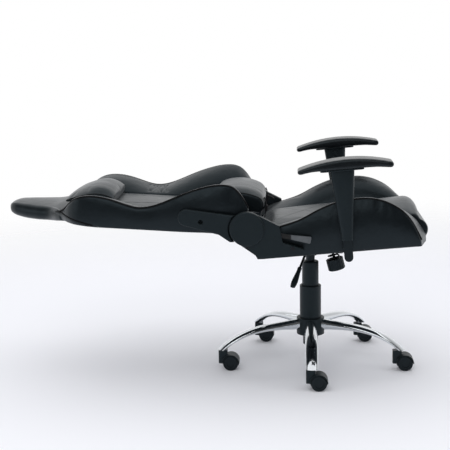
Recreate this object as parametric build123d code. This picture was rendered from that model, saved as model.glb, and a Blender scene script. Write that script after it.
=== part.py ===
from build123d import *
import math
import os

# A racing style gaming chair with its back laid flat, in millimetres. +X is forward, +Y is the
# sitter's left and +Z is up. The pieces are drawn with the gas lift's axis at x = 0, and are written
# with the origin on the floor under the middle of the chair's length.

# Seat, hinge and back places. The seat frame is tilted about a point on the lift axis.
SEAT_UNDER_Z = 418.0
SEAT_TILT = 4.5
HINGE_BACK = 190.6
HINGE_UP = 102.3
BACK_FALL = 8.1
TILT_SWING = 10.0

# Casters
WHEEL_D = 50.0
WHEEL_W = 19.0
WHEEL_DISH = 2.5
WHEEL_EDGE = 3.0
AXLE_D = 6.0
CASTER_TRAIL = 21.0
CASTER_WEB = 8.0
CASTER_H = 66.0
CASTER_BLOCK_FRONT = 19.0
CASTER_BLOCK_W = 26.0
HOOD_T = 2.4
STEM_D = 10.0
STEM_IN_HOUSING = 17.0
STEM_IN_ARM = 14.0
COLLAR_D = 16.0
COLLAR_T = 2.0

# Star base
ARM_COUNT = 5
BASE_R = 300.0
ARM_ROOT_Z = 131.0
ARM_ROOT_H = 40.0
ARM_END_H = 18.0
ARM_ROOT_W = 31.0
ARM_MID_W = 42.0
ARM_WALL = 2.0
ARM_BEND = 3.6
ARM_TAPER = 2.5
ARM_OVERRUN = 22.0
ARM_CROWN = 2.5
SOCKET_D = 17.0
HUB_D = 62.0
HUB_Z0 = 103.0
HUB_H = 48.0
HUB_COVER_D = 92.0
HUB_COVER_Z0 = 98.0
HUB_COVER_H = 56.0
COVER_WALL = 2.4

# Gas lift
TUBE_D = 50.0
TUBE_WALL = 2.5
TUBE_Z0 = 62.0
TUBE_H = 194.0
TUBE_FLOOR = 4.0
BUSH_L = 70.0
CYL_D = 30.0
CYL_WALL = 2.0
CYL_L = 216.0
CYL_CAP = 8.0
LIFT_STROKE = 80.0
ROD_D = 10.0
ROD_TAIL = 8.0
PISTON_L = 20.0
FLANGE_D = 26.0
FLANGE_T = 4.0
BEARING_D = 30.0
BEARING_T = 6.0
CLIP_D = 20.0
CLIP_T = 1.5
GROOVE_DEPTH = 1.0
VALVE_D = 9.0
VALVE_UP = 6.0
LOWER_COVER_D = 71.0
LOWER_COVER_H = 110.0
LIP_T = 4.0
UPPER_COVER_D = 55.0
UPPER_COVER_H = 110.0
UPPER_COVER_WALL = 1.8
UPPER_COVER_TOP_Z = 346.0

# Tilt mechanism under the seat
MECH_BACK = 92.0
MECH_FRONT = 105.0
MECH_HALF_W = 58.0
MECH_FLOOR_Z = 382.0
MECH_WALL = 3.0
MECH_REAR_H = 10.0
MECH_SIDE_H = 25.0
SOCKET_TUBE_D = 44.0
SOCKET_TUBE_DROP = 16.0
SOCKET_TUBE_RISE = 5.0
PIVOT_BACK = 31.6
PIVOT_DOWN = 19.6
PIVOT_D = 12.0
EAR_T = 4.0
EAR_W = 28.0
EAR_GAP = 2.0
PLATE_T = 3.0
PLATE_BACK = 96.0
PLATE_FRONT = 116.0
PLATE_HALF_W = 85.0
BOLT_AHEAD = 63.0
BOLT_LEAN = 9.5
BOLT_D = 9.0
BOLT_ROOM = 2.0
BOLT_SLOT_STEPS = 5
KNOB_RIM = 69.0
KNOB_H = 38.0
KNOB_D = 57.0
KNOB_WALL = 3.0
KNOB_FLOOR = 6.0
KNOB_GROOVES = 16
SPRING_D = 40.0
SPRING_WIRE = 5.0
SPRING_TURNS = 5
SPRING_SEAT_D = 43.0
SPRING_SEAT_DOWN = 44.0

# Height lever, a bent rod with a flat grip
LEVER_D = 8.0
LEVER_X = 5.0
LEVER_OUT = 110.0
LEVER_REACH = 200.0
LEVER_DROP = 39.0
LEVER_SWEEP = 33.0
GRIP_D = 14.0
GRIP_T = 8.0
GRIP_OUT = 62.0
GRIP_DROP = 41.0
GRIP_SWEEP = 21.0

# Seat, in the tilted seat frame, with heights from its underside
SEAT_BACK = 165.0
SEAT_FRONT = 338.0
SEAT_HALF_W = 250.0
SEAT_BULGE = 6.0
SEAT_BOLSTER_W = 90.0
SEAT_CENTRE_HALF_W = SEAT_HALF_W - SEAT_BOLSTER_W
BOLSTER_EDGE = 9.0
BOLSTER_FULL = 0.22
SEAT_CREST_H = 164.0
SEAT_SEAM_H = 86.0
SEAT_CROWN = 6.0
SEAT_NOSE = 34.0
SEAT_NOSE_H = 112.0
SEAT_NOSE_CROWN = 26.0
SEAT_NOSE_BACK = 28.0
SEAT_PINCH_H = 66.0
SEAT_PINCH_AHEAD = 14.0
SEAT_HEEL = 58.0
SEAT_RAIL_Y = SEAT_HALF_W - 45.0
RAIL_D = 22.0
RAIL_WALL = 1.6
SEAT_RAIL_BACK = 146.0
SEAT_RAIL_FRONT = 290.0
BAR_W = 40.0
BAR_T = 5.0
REAR_BAR_BACK = 75.0
FRONT_BAR_AHEAD = 112.0
BOLT_SPAN_Y = 70.0
FASTENER_D = 8.0
FASTENER_HEAD_D = 15.0
FASTENER_HEAD_T = 5.0
WEB_W = 42.0
WEB_T = 2.0
SEAT_WEB_COUNT = 3
BACK_WEB_COUNT = 4

# Recliner brackets and covers, as distances out from the middle of the chair
BRACKET_T = 5.0
BRACKET_Y = SEAT_HALF_W + 2.0
BRACKET_STEP = 1.0
HUB_PLATE_R = 44.0
HINGE_PIN_D = 16.0
CAP_R = 53.5
CAP_GAP = 3.5
CAP_OUT = SEAT_HALF_W + 35.0
CAP_T = 19.5
SIDE_COVER_T = 20.0
SIDE_COVER_WALL = 2.6
SIDE_COVER_LIFT = 5.5
SIDE_COVER_BACK = 166.0
SIDE_COVER_FRONT = 28.0
SIDE_COVER_TIP_H = 24.0
SIDE_COVER_HEEL_H = 50.0
SIDE_COVER_NECK = 90.0
BOSS_D = 16.0
LEVER_PIVOT_BACK = 122.0
LEVER_PIVOT_UP = 80.0
RECLINE_SHAFT_D = 10.0
RECLINE_BAR_T = 5.0
RECLINE_BAR_W = 14.0
RECLINE_TIP_W = 22.0
RECLINE_BAR_L = 128.0
RECLINE_BAR_FALL = 14.0
PAWL_W = 12.0
PAWL_GAP = 1.5
TOOTH_COUNT = 14
TOOTH_H = 3.0
ARM_PLATE_L = 188.0
ARM_PLATE_UP = 24.0
ARM_PLATE_END_R = 26.0
ARM_PLATE_HEEL = 50.0
ARM_PLATE_HEEL_DROP = 44.0
ARM_PLATE_WAIST = 85.0
ARM_PLATE_WAIST_DROP = 23.0
ARM_COVER_T = 14.0
ARM_COVER_HOLE_D = 15.0
ARM_BOLT_S = 143.0

# Back, with lengths from the hinge towards the head and heights from the hinge line
BACK_REAR = 27.0
BACK_CENTRE_FRONT = 24.0
BACK_CROWN = 6.0
BACK_BOLSTER_W = 100.0
BACK_CENTRE_HALF_W = SEAT_HALF_W - BACK_BOLSTER_W
BACK_LEN = 597.0
HEAD_LEN = 201.0
HEAD_HALF_W = SEAT_HALF_W - 60.0
HEAD_FRONT = 8.0
HEAD_CROWN = 19.0
HEAD_REAR = 44.0
HEAD_FULL = 7.0
BACK_CREST = 129.0
BACK_WAIST = 46.0
BACK_WING = 73.0
BACK_HALF_W = SEAT_HALF_W + 7.0
BACK_FOOT_HALF_W = SEAT_HALF_W
BACK_RAIL_Y = SEAT_HALF_W - 60.0
BACK_RAIL_T = 14.0
BACK_RAIL_S0 = 12.0
BACK_RAIL_S1 = BACK_LEN - 41.0
CROSS_D = 16.0
LUMBAR_FOOT = 48.0
LUMBAR_L = 166.0
LUMBAR_HALF_W = BACK_CENTRE_HALF_W - 2.0
LUMBAR_T = 79.0
LUMBAR_END = 0.74
PILLOW_L = 161.0
PILLOW_S = BACK_LEN - 2.0 - PILLOW_L
PILLOW_HALF_W = BACK_CENTRE_HALF_W - 16.0
PILLOW_T = 53.0
PILLOW_END = 0.5

# Armrests
ARM_X = 112.5
ARM_Y = SEAT_HALF_W + 47.0
POST_W = 27.0
POST_T = 14.0
POST_DOWN = 20.0
POST_UP = 200.0
ARM_STRAP_IN = 115.0
SLEEVE_Z0 = 47.0
SLEEVE_Z1 = 262.0
SLEEVE_FOOT_W = 33.0
SLEEVE_FOOT_T = 26.0
SLEEVE_TOP_W = 74.0
SLEEVE_TOP_T = 36.0
SLEEVE_CAVITY_TOP = 268.0
SLEEVE_OVAL = 0.64
SLEEVE_POINTS = 16
PAD_PLATE_L = 131.0
PAD_PLATE_W = 58.0
PAD_PLATE_T = 5.0
PAD_L = 288.0
PAD_AHEAD = 10.0
PAD_W = 80.0
PAD_T = 25.0
PAD_ARCH = 6.0
PAD_BOW = 6.0
PAD_TIP_FRONT = 9.5
PAD_TIP_REAR = 8.0
PAD_EDGE = 6.0
ARM_LIFT = 60.0
BUTTON_D = 16.0
BUTTON_L = 9.0
BUTTON_Z = 246.0
BUTTON_PROUD = 4.5

# Clearances
RUN_FIT = 0.05
PRESS_FIT = 0.02
SOFT_GAP = 0.4
SLIDE_FIT = 0.3
FACE_GAP = 0.3
WHEEL_GAP = 1.2
COVER_GAP = 1.0

os.makedirs("parts", exist_ok=True)
FROM_FLOOR = (Align.CENTER, Align.CENTER, Align.MIN)

SEAT_AT = Pos(0, 0, SEAT_UNDER_Z) * Rot(0, -SEAT_TILT, 0)
BACK_AT = SEAT_AT * Pos(-HINGE_BACK, 0, HINGE_UP) * Rot(0, BACK_FALL, 0)


def rod(diameter, start, length):
    """An upright round bar standing at height start."""
    return Pos(0, 0, start) * Cylinder(diameter / 2, length, align=FROM_FLOOR)


def pipe(outer, inner, start, length):
    """An upright tube standing at height start."""
    return rod(outer, start, length) - rod(inner, start, length)


def cross_rod(diameter, x, z, y_from, y_to):
    """A round bar along Y."""
    bar = Cylinder(diameter / 2, y_to - y_from, align=FROM_FLOOR)
    return Pos(x, y_from, z) * Rot(-90, 0, 0) * bar


def block(x0, x1, y0, y1, z0, z1):
    """A box between two corners."""
    return Pos((x0 + x1) / 2, (y0 + y1) / 2, (z0 + z1) / 2) * Box(x1 - x0, y1 - y0, z1 - z0)


def right_plate(face, y_in, y_out):
    """A plate on the right side, drawn in side view, between two distances from the middle."""
    return extrude(Plane.XZ.offset(y_in) * face, amount=y_out - y_in)


def left_of(shape):
    return mirror(shape, about=Plane.XZ)


def pair(shape):
    return Compound(children=[shape, left_of(shape)])


def outline(points):
    return make_face(Polyline(*points, close=True))


made = []


def write(name, shape):
    """Keep a finished piece, to be written once the whole length is known."""
    made.append((name, shape))


def caster_places():
    for index in range(ARM_COUNT):
        turn = math.radians(index * 360 / ARM_COUNT - 90)
        yield BASE_R * math.cos(turn), BASE_R * math.sin(turn)


# Casters: a moulded housing with a hood over two wheels, turning on a stem in the arm's end
wheel_r = WHEEL_D / 2
hood_in = wheel_r + WHEEL_GAP
hood_out = hood_in + HOOD_T
set_w = CASTER_WEB + 2 * (WHEEL_W + COVER_GAP)
stem_foot_z = CASTER_H - STEM_IN_HOUSING


def caster_housing():
    ring = Circle(hood_out) - Pos(0, -hood_out) * Rectangle(4 * hood_out, 2 * hood_out)
    hood = Pos(CASTER_TRAIL, 0, wheel_r) * right_plate(ring, -set_w / 2, set_w / 2)
    neck_x = CASTER_TRAIL - wheel_r
    neck = block(-CASTER_BLOCK_FRONT, CASTER_TRAIL, -CASTER_BLOCK_W / 2, CASTER_BLOCK_W / 2,
                 wheel_r - WHEEL_GAP * 2, CASTER_H)
    top_cut = block(STEM_D, CASTER_TRAIL + 1, -set_w, set_w, wheel_r + hood_out, CASTER_H + 1)
    neck = neck - top_cut
    neck = fillet(neck.edges().filter_by(Axis.Z).group_by(Axis.X)[0], 6)
    well = cross_rod(2 * hood_in, CASTER_TRAIL, wheel_r, CASTER_WEB / 2, set_w)
    web = cross_rod(2 * hood_in + HOOD_T, CASTER_TRAIL, wheel_r, -CASTER_WEB / 2, CASTER_WEB / 2)
    web = web - block(neck_x - wheel_r, CASTER_TRAIL + wheel_r * 2, -set_w, set_w, -wheel_r, wheel_r / 2)
    body = hood + neck - well - left_of(well) + web
    body = body - cross_rod(AXLE_D + 2 * RUN_FIT, CASTER_TRAIL, wheel_r, -set_w, set_w)
    return body - rod(STEM_D + 2 * RUN_FIT, stem_foot_z - FACE_GAP, CASTER_H)


def caster_wheels():
    edge = WHEEL_EDGE
    disc = rod(WHEEL_D, 0, WHEEL_W) - rod(WHEEL_D * 0.62, WHEEL_W - WHEEL_DISH, WHEEL_DISH)
    disc = fillet(disc.edges().filter_by(GeomType.CIRCLE).sort_by(SortBy.RADIUS)[-2:], edge)
    disc = disc - rod(AXLE_D + 2 * PRESS_FIT, 0, WHEEL_W - WHEEL_DISH * 2)
    left = Pos(CASTER_TRAIL, CASTER_WEB / 2 + COVER_GAP / 2, wheel_r) * Rot(-90, 0, 0) * disc
    reach = CASTER_WEB / 2 + COVER_GAP / 2 + WHEEL_W - WHEEL_DISH * 2
    axle = cross_rod(AXLE_D, CASTER_TRAIL, wheel_r, -reach, reach)
    return [left, left_of(left), axle]


def caster_stem():
    pin = rod(STEM_D, stem_foot_z, STEM_IN_HOUSING + COLLAR_T + STEM_IN_ARM)
    return pin + rod(COLLAR_D, CASTER_H + FACE_GAP, COLLAR_T - FACE_GAP)


housing = caster_housing()
wheels = caster_wheels()
stems = []
for number, (px, py) in enumerate(caster_places(), start=1):
    place = Pos(px, py, 0)
    write("caster_housing_" + str(number), place * housing)
    write("caster_wheels_" + str(number), Compound(children=[place * piece for piece in wheels]))
    stems.append(place * caster_stem())
write("caster_stems", Compound(children=stems))

# Star base: five pressed arms welded to the hub tube
arm_end_z = CASTER_H + COLLAR_T
arm_run = BASE_R - HUB_D / 2
arm_drop = ARM_ROOT_Z - (arm_end_z + STEM_IN_ARM + ARM_CROWN - ARM_END_H / 2)


def arm_section(radius, inset):
    """The arm cut square to its run at a radius from the lift axis."""
    share = (radius - HUB_D / 2) / arm_run
    taper = max(1 - share, 0) ** ARM_TAPER
    height = ARM_END_H + (ARM_ROOT_H - ARM_END_H) * taper - 2 * inset
    swell = math.sin(math.pi * share / 1.3) if share > 0 else 0
    width = ARM_ROOT_W + (ARM_MID_W - ARM_ROOT_W) * swell - 2 * inset
    level = ARM_ROOT_Z - arm_drop * max(share, 0) ** ARM_BEND
    plane = Plane(origin=(radius, 0, level), x_dir=(0, 1, 0), z_dir=(1, 0, 0))
    return plane * Ellipse(width / 2, height / 2)


def arm_loft(inset):
    stops = [HUB_D / 2 + arm_run * share for share in (-0.02, 0.3, 0.55, 0.7, 0.84, 1)]
    return loft([arm_section(stop, inset) for stop in stops + [BASE_R + ARM_OVERRUN]])


def base_arm():
    end_r = BASE_R + ARM_OVERRUN
    skin = arm_loft(0)
    core = arm_loft(ARM_WALL)
    socket = Pos(BASE_R, 0, 0) * rod(SOCKET_D, arm_end_z, STEM_IN_ARM * 2) & skin
    arm = skin - core + socket
    arm = arm - block(0, end_r * 2, -ARM_MID_W, ARM_MID_W, -arm_end_z, arm_end_z)
    arm = arm - Pos(BASE_R, 0, 0) * rod(STEM_D + 2 * PRESS_FIT, 0, arm_end_z + STEM_IN_ARM)
    return arm - rod(HUB_D + 2 * PRESS_FIT, 0, ARM_ROOT_Z * 2)


tube_in = TUBE_D - 2 * TUBE_WALL
hub_tube = pipe(HUB_D, TUBE_D + 2 * PRESS_FIT, HUB_Z0, HUB_H)
arm = base_arm()
turns = [Rot(0, 0, index * 360 / ARM_COUNT - 90) for index in range(ARM_COUNT)]
write("star_base", Compound(children=[hub_tube] + [turn * arm for turn in turns]))

hub_cover = pipe(HUB_COVER_D, HUB_COVER_D - 2 * COVER_WALL, HUB_COVER_Z0, HUB_COVER_H)
cover_top = HUB_COVER_Z0 + HUB_COVER_H
hub_cover = hub_cover + pipe(HUB_COVER_D, TUBE_D + 2 * PRESS_FIT, cover_top - COVER_WALL, COVER_WALL)
hub_rim = hub_cover.edges().filter_by(GeomType.CIRCLE).group_by(Axis.Z)[-1]
hub_cover = fillet(hub_rim.sort_by(SortBy.RADIUS)[-1], 2)
passage = arm_loft(-SLIDE_FIT)
for turn in turns:
    hub_cover = hub_cover - turn * passage
write("hub_cover", hub_cover)

# Gas lift: an outer tube in the hub, a bush, and the piston rod standing on the thrust bearing
tube_top = TUBE_Z0 + TUBE_H
lift_tube = pipe(TUBE_D, tube_in, TUBE_Z0, TUBE_H) + rod(TUBE_D, TUBE_Z0, TUBE_FLOOR)
lift_tube = lift_tube - rod(ROD_D + 2 * RUN_FIT, 0, TUBE_Z0 * 2)
write("lift_tube", lift_tube)
write("lift_bush", pipe(tube_in - 2 * PRESS_FIT, CYL_D + 2 * RUN_FIT, tube_top - BUSH_L, BUSH_L))

bearing_z = TUBE_Z0 + TUBE_FLOOR
flange_z = bearing_z + BEARING_T
rod_foot = TUBE_Z0 - ROD_TAIL
cylinder_top = MECH_FLOOR_Z + MECH_WALL + SOCKET_TUBE_RISE - 2
cylinder_foot = cylinder_top - CYL_L
piston_z = cylinder_foot + CYL_CAP + FACE_GAP
cyl_in = CYL_D - 2 * CYL_WALL
groove_d = ROD_D - 2 * GROOVE_DEPTH
groove_z = TUBE_Z0 - FACE_GAP - CLIP_T
piston_rod = rod(ROD_D, rod_foot, piston_z + PISTON_L - rod_foot)
piston_rod = piston_rod + rod(FLANGE_D, flange_z, FLANGE_T)
piston_rod = piston_rod + rod(cyl_in - 2 * RUN_FIT, piston_z, PISTON_L)
piston_rod = piston_rod - pipe(ROD_D + 1, groove_d, groove_z, CLIP_T)
write("piston_rod", piston_rod)
write("thrust_bearing", pipe(BEARING_D, ROD_D + 2 * RUN_FIT, bearing_z, BEARING_T))
write("rod_clip", pipe(CLIP_D, groove_d + 2 * RUN_FIT, groove_z + RUN_FIT, CLIP_T - 2 * RUN_FIT))

gas_cylinder = rod(CYL_D, cylinder_foot, CYL_L)
gas_cylinder = gas_cylinder - rod(cyl_in, cylinder_foot + CYL_CAP, CYL_L - 2 * CYL_CAP)
gas_cylinder = gas_cylinder - rod(ROD_D + 2 * RUN_FIT, cylinder_foot, CYL_CAP)
valve_bore = rod(VALVE_D + 2 * RUN_FIT, cylinder_top - CYL_CAP, CYL_CAP)
write("gas_cylinder", gas_cylinder - valve_bore)
valve_button = rod(VALVE_D, cylinder_top - CYL_CAP + VALVE_UP, CYL_CAP)
write("valve_button", valve_button)

lower_z = cover_top
lower_cover = pipe(LOWER_COVER_D, LOWER_COVER_D - 2 * COVER_WALL, lower_z, LOWER_COVER_H)
lip_z = lower_z + LOWER_COVER_H - LIP_T
lip = pipe(LOWER_COVER_D - COVER_WALL, UPPER_COVER_D + 2 * COVER_GAP, lip_z, LIP_T)
lower_cover = lower_cover + lip
rim_edges = lower_cover.edges().filter_by(GeomType.CIRCLE).group_by(Axis.Z)[-1]
write("lower_dust_cover", fillet(rim_edges.sort_by(SortBy.RADIUS)[-1], COVER_WALL * 0.8))

upper_z = UPPER_COVER_TOP_Z - UPPER_COVER_H
upper_in = UPPER_COVER_D - 2 * UPPER_COVER_WALL
upper_cover = rod(UPPER_COVER_D, upper_z, UPPER_COVER_H)
upper_edge = upper_cover.edges().filter_by(GeomType.CIRCLE).sort_by(Axis.Z)[-1]
upper_cover = fillet(upper_edge, UPPER_COVER_WALL * 2)
upper_cover = upper_cover - rod(upper_in, upper_z, UPPER_COVER_H - UPPER_COVER_WALL * 2)
write("upper_dust_cover", upper_cover - rod(CYL_D + 2 * PRESS_FIT, upper_z, UPPER_COVER_H * 2))

# Tilt mechanism: a pressed housing on the gas cylinder, with the seat plate rocking on its pin
pivot_at = (SEAT_AT * Pos(-PIVOT_BACK, 0, -PIVOT_DOWN)).position
floor_top = MECH_FLOOR_Z + MECH_WALL
side_top = MECH_FLOOR_Z + MECH_SIDE_H
lever_z = cylinder_top + VALVE_UP + FACE_GAP + LEVER_D / 2
lever_hole_d = LEVER_D + 2 * COVER_GAP
BOLT_AXIS = SEAT_AT * Pos(BOLT_AHEAD, 0, -PLATE_T) * Rot(0, 180 - BOLT_LEAN, 0)


def mechanism_housing():
    side = outline([(-MECH_BACK, MECH_FLOOR_Z), (-MECH_BACK, MECH_FLOOR_Z + MECH_REAR_H),
                    (pivot_at.X - PIVOT_D * 2, side_top - MECH_WALL), (pivot_at.X, side_top),
                    (MECH_FRONT, side_top), (MECH_FRONT, MECH_FLOOR_Z)])
    wall = right_plate(side, MECH_HALF_W - MECH_WALL, MECH_HALF_W)
    shell = wall + left_of(wall)
    shell = shell + block(-MECH_BACK, MECH_FRONT, -MECH_HALF_W, MECH_HALF_W, MECH_FLOOR_Z, floor_top)
    shell = shell + block(MECH_FRONT - MECH_WALL, MECH_FRONT, -MECH_HALF_W, MECH_HALF_W,
                          MECH_FLOOR_Z, side_top)
    shell = shell + block(-MECH_BACK, MECH_WALL - MECH_BACK, -MECH_HALF_W, MECH_HALF_W,
                          MECH_FLOOR_Z, MECH_FLOOR_Z + MECH_REAR_H)
    shell = shell + rod(SOCKET_TUBE_D, MECH_FLOOR_Z - SOCKET_TUBE_DROP,
                        SOCKET_TUBE_DROP + MECH_WALL + SOCKET_TUBE_RISE)
    seat_boss = BOLT_AXIS * rod(SPRING_SEAT_D, 0, SPRING_SEAT_DOWN)
    seat_boss = seat_boss & block(-MECH_BACK, MECH_FRONT * 2, -MECH_HALF_W, MECH_HALF_W, 0, floor_top)
    shell = shell + seat_boss
    shell = shell - rod(CYL_D + 2 * PRESS_FIT, 0, SEAT_UNDER_Z)
    swing = Pos(pivot_at.X, 0, pivot_at.Z)
    for step in range(BOLT_SLOT_STEPS + 1):
        leant = swing * Rot(0, -TILT_SWING * step / BOLT_SLOT_STEPS, 0) * swing.inverse()
        shell = shell - leant * BOLT_AXIS * rod(BOLT_D + 2 * BOLT_ROOM, 0, KNOB_RIM)
    shell = shell - cross_rod(lever_hole_d, -LEVER_X, lever_z, -MECH_HALF_W * 2, 0)
    return shell - cross_rod(PIVOT_D + 2 * PRESS_FIT, pivot_at.X, pivot_at.Z,
                             -MECH_HALF_W * 2, MECH_HALF_W * 2)


write("mechanism_housing", mechanism_housing())
ear_in = MECH_HALF_W + EAR_GAP
pin_reach = ear_in + EAR_T + COVER_GAP
tilt_pin = cross_rod(PIVOT_D, pivot_at.X, pivot_at.Z, -pin_reach, pin_reach)
pin_head = cross_rod(PIVOT_D * 1.5, pivot_at.X, pivot_at.Z, pin_reach, pin_reach + EAR_T)
write("tilt_pin", tilt_pin + pin_head + left_of(pin_head))

# Seat plate with its two ears round the tilt pin, and the tension bolt hanging from it
plate_holes = [(-REAR_BAR_BACK, BOLT_SPAN_Y), (FRONT_BAR_AHEAD - BAR_W / 4, BOLT_SPAN_Y)]
strap_holes = [(FRONT_BAR_AHEAD, ARM_STRAP_IN + FASTENER_HEAD_D)]
strap_holes += [(FRONT_BAR_AHEAD, SEAT_RAIL_Y - RAIL_D * 1.5)]


def both_sides(places):
    return [(x, side * y) for x, y in places for side in (1, -1)]


def drill(shape, places, low, high, diameter):
    for x, y in both_sides(places):
        shape = shape - Pos(x, y, 0) * rod(diameter, low, high - low)
    return shape


seat_plate = block(-PLATE_BACK, PLATE_FRONT, -PLATE_HALF_W, PLATE_HALF_W, -PLATE_T, 0)
seat_plate = fillet(seat_plate.edges().filter_by(Axis.Z), 14)
ear_drop = PIVOT_DOWN + PIVOT_D
ear_back = -PIVOT_BACK - EAR_W / 2
ear = block(ear_back, ear_back + EAR_W, -ear_in - EAR_T, -ear_in, -ear_drop, -PLATE_T / 2)
ear = fillet(ear.edges().filter_by(Axis.Y).group_by(Axis.Z)[0], PIVOT_D / 2)
ear = ear - cross_rod(PIVOT_D + 2 * RUN_FIT, -PIVOT_BACK, -PIVOT_DOWN, -SEAT_HALF_W, SEAT_HALF_W)
seat_plate = seat_plate + ear + left_of(ear)
seat_plate = drill(seat_plate, plate_holes, -PLATE_T, 0, FASTENER_D + 2 * PRESS_FIT)
write("seat_plate", SEAT_AT * seat_plate)
knob_end = KNOB_RIM + KNOB_H
bolt_top = FACE_GAP + BOLT_D / 2 * math.tan(math.radians(BOLT_LEAN))
write("tension_bolt", BOLT_AXIS * rod(BOLT_D, bolt_top, knob_end - KNOB_FLOOR / 2 - FACE_GAP - bolt_top))

knob = rod(KNOB_D, KNOB_RIM, KNOB_H)
knob = fillet(knob.edges().filter_by(GeomType.CIRCLE).sort_by(Axis.Z)[-1], KNOB_FLOOR * 0.8)
knob = knob - rod(KNOB_D - 2 * KNOB_WALL, KNOB_RIM, KNOB_H - KNOB_FLOOR)
knob = knob - rod(BOLT_D + 2 * RUN_FIT, KNOB_RIM, KNOB_H - KNOB_FLOOR / 2)
for index in range(KNOB_GROOVES):
    flute = Pos(KNOB_D / 2 + 1.2, 0, 0) * rod(5, KNOB_RIM + 5, KNOB_H)
    knob = knob - Rot(0, 0, index * 360 / KNOB_GROOVES) * flute
write("tension_knob", BOLT_AXIS * knob)


def spring_points(mean_r, low, rise, turns, steps):
    """Points and directions along a coil, a quarter turn divided in steps."""
    for index in range(turns * 4 * steps + 1):
        angle = index * math.pi / 2 / steps
        height = low + rise * angle / (2 * math.pi * turns)
        slope = rise / (2 * math.pi * turns * mean_r)
        along = Vector(-math.sin(angle), math.cos(angle), slope).normalized()
        yield Vector(mean_r * math.cos(angle), mean_r * math.sin(angle), height), along


def biarc(start, start_dir, end, end_dir):
    """Two arcs that leave start and reach end along the given directions."""
    span = end - start
    both = start_dir + end_dir
    spread = 2 * (1 - start_dir.dot(end_dir))
    lean = span.dot(both)
    reach = (math.sqrt(lean * lean + spread * span.dot(span)) - lean) / spread
    near = start + start_dir * reach
    far = end - end_dir * reach
    middle = (near + far) * 0.5
    first = TangentArc(start, middle, tangent=start_dir)
    return [first, TangentArc(middle, end, tangent=far - near)]


spring_low = SPRING_SEAT_DOWN + SPRING_WIRE / 2 + FACE_GAP
spring_rise = knob_end - KNOB_FLOOR - SPRING_WIRE / 2 - FACE_GAP - spring_low
spring_r = (SPRING_D - SPRING_WIRE) / 2
knots = list(spring_points(spring_r, spring_low, spring_rise, SPRING_TURNS, 1))
coil = []
for (here, here_dir), (there, there_dir) in zip(knots, knots[1:]):
    coil += biarc(here, here_dir, there, there_dir)
coil_path = Wire(coil)
coil_start = Plane(origin=knots[0][0], z_dir=knots[0][1])
spring = sweep(coil_start * Circle(SPRING_WIRE / 2), path=coil_path)
write("tension_spring", BOLT_AXIS * spring)
spring_gap = math.inf
fine = [point for point, way in spring_points(spring_r, spring_low, spring_rise, SPRING_TURNS, 12)]
for index, point in enumerate(fine):
    for other in fine[index + 24:]:
        spring_gap = min(spring_gap, (point - other).length - SPRING_WIRE)
print("tension spring: least gap between turns", round(spring_gap, 2), "mm")

# Height lever: a bent rod through the housing's right wall, over the valve button
lever_points = [(0, LEVER_D / 2, lever_z), (-LEVER_X, -MECH_HALF_W, lever_z),
                (-LEVER_X - LEVER_SWEEP * 0.4, -LEVER_OUT, lever_z - LEVER_DROP * 0.25),
                (-LEVER_X - LEVER_SWEEP, -LEVER_REACH, lever_z - LEVER_DROP)]
lever_path = FilletPolyline(*lever_points, radius=LEVER_D * 3)
lever_start = Plane(origin=lever_path @ 0, z_dir=lever_path % 0)
lever_rod = sweep(lever_start * Circle(LEVER_D / 2), path=lever_path)
lever_end = Vector(*lever_points[-1])
lever_way = lever_path % 1
grip_end = lever_end + Vector(-GRIP_SWEEP, -GRIP_OUT, -GRIP_DROP)
grip_way = (grip_end - lever_end).normalized()
write("height_lever", lever_rod)
grip_root = lever_end - lever_way * LEVER_D
grip_planes = [Plane(origin=grip_root, x_dir=(1, 0, 0), z_dir=lever_way),
               Plane(origin=lever_end + grip_way * GRIP_D, x_dir=(1, 0, 0), z_dir=grip_way),
               Plane(origin=grip_end - grip_way * GRIP_D, x_dir=(1, 0, 0), z_dir=grip_way),
               Plane(origin=grip_end, x_dir=(1, 0, 0), z_dir=grip_way)]
grip_sizes = [(GRIP_D, GRIP_D), (GRIP_D, GRIP_T * 1.2), (GRIP_D * 1.35, GRIP_T), (GRIP_D, GRIP_T * 0.7)]
grip_faces = []
for plane, (wide, thick) in zip(grip_planes, grip_sizes):
    grip_faces.append(plane * Ellipse(wide / 2, thick / 2))
grip = loft(grip_faces)
grip_bore = rod(LEVER_D + 2 * PRESS_FIT, -1, LEVER_D + 1 + PRESS_FIT)
grip_bore = Plane(origin=grip_root, z_dir=lever_way) * grip_bore
write("height_lever_grip", grip - grip_bore)

# Seat frame: two side rails, cross bars and the bosses that carry the recliner brackets
rail_z = RAIL_D / 2 + BAR_T - 1
cross_tubes = (-SEAT_RAIL_BACK + RAIL_D, SEAT_RAIL_FRONT - RAIL_D)
flat_bars = (-REAR_BAR_BACK, FRONT_BAR_AHEAD)
boss_places = [(-SIDE_COVER_BACK + BOSS_D * 2, rail_z), (-SIDE_COVER_FRONT - BOSS_D * 2.4, rail_z)]


def along_x(diameter, x0, x1, y, z):
    return Pos(x0, y, z) * Rot(0, 90, 0) * Cylinder(diameter / 2, x1 - x0, align=FROM_FLOOR)


def tube_along_x(x0, x1, y, z):
    """A round frame tube with closed ends."""
    tube = along_x(RAIL_D, x0, x1, y, z)
    return tube - along_x(RAIL_D - 2 * RAIL_WALL, x0 + RAIL_WALL, x1 - RAIL_WALL, y, z)


def rail_room(x0, x1, y, z, spare):
    """The space that two side rails take, grown by a spare room all round."""
    return [along_x(RAIL_D + 2 * spare, x0 - spare, x1 + spare, side * y, z) for side in (-1, 1)]


def cut_all(shape, tools):
    for tool in tools:
        shape = shape - tool
    return shape


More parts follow.
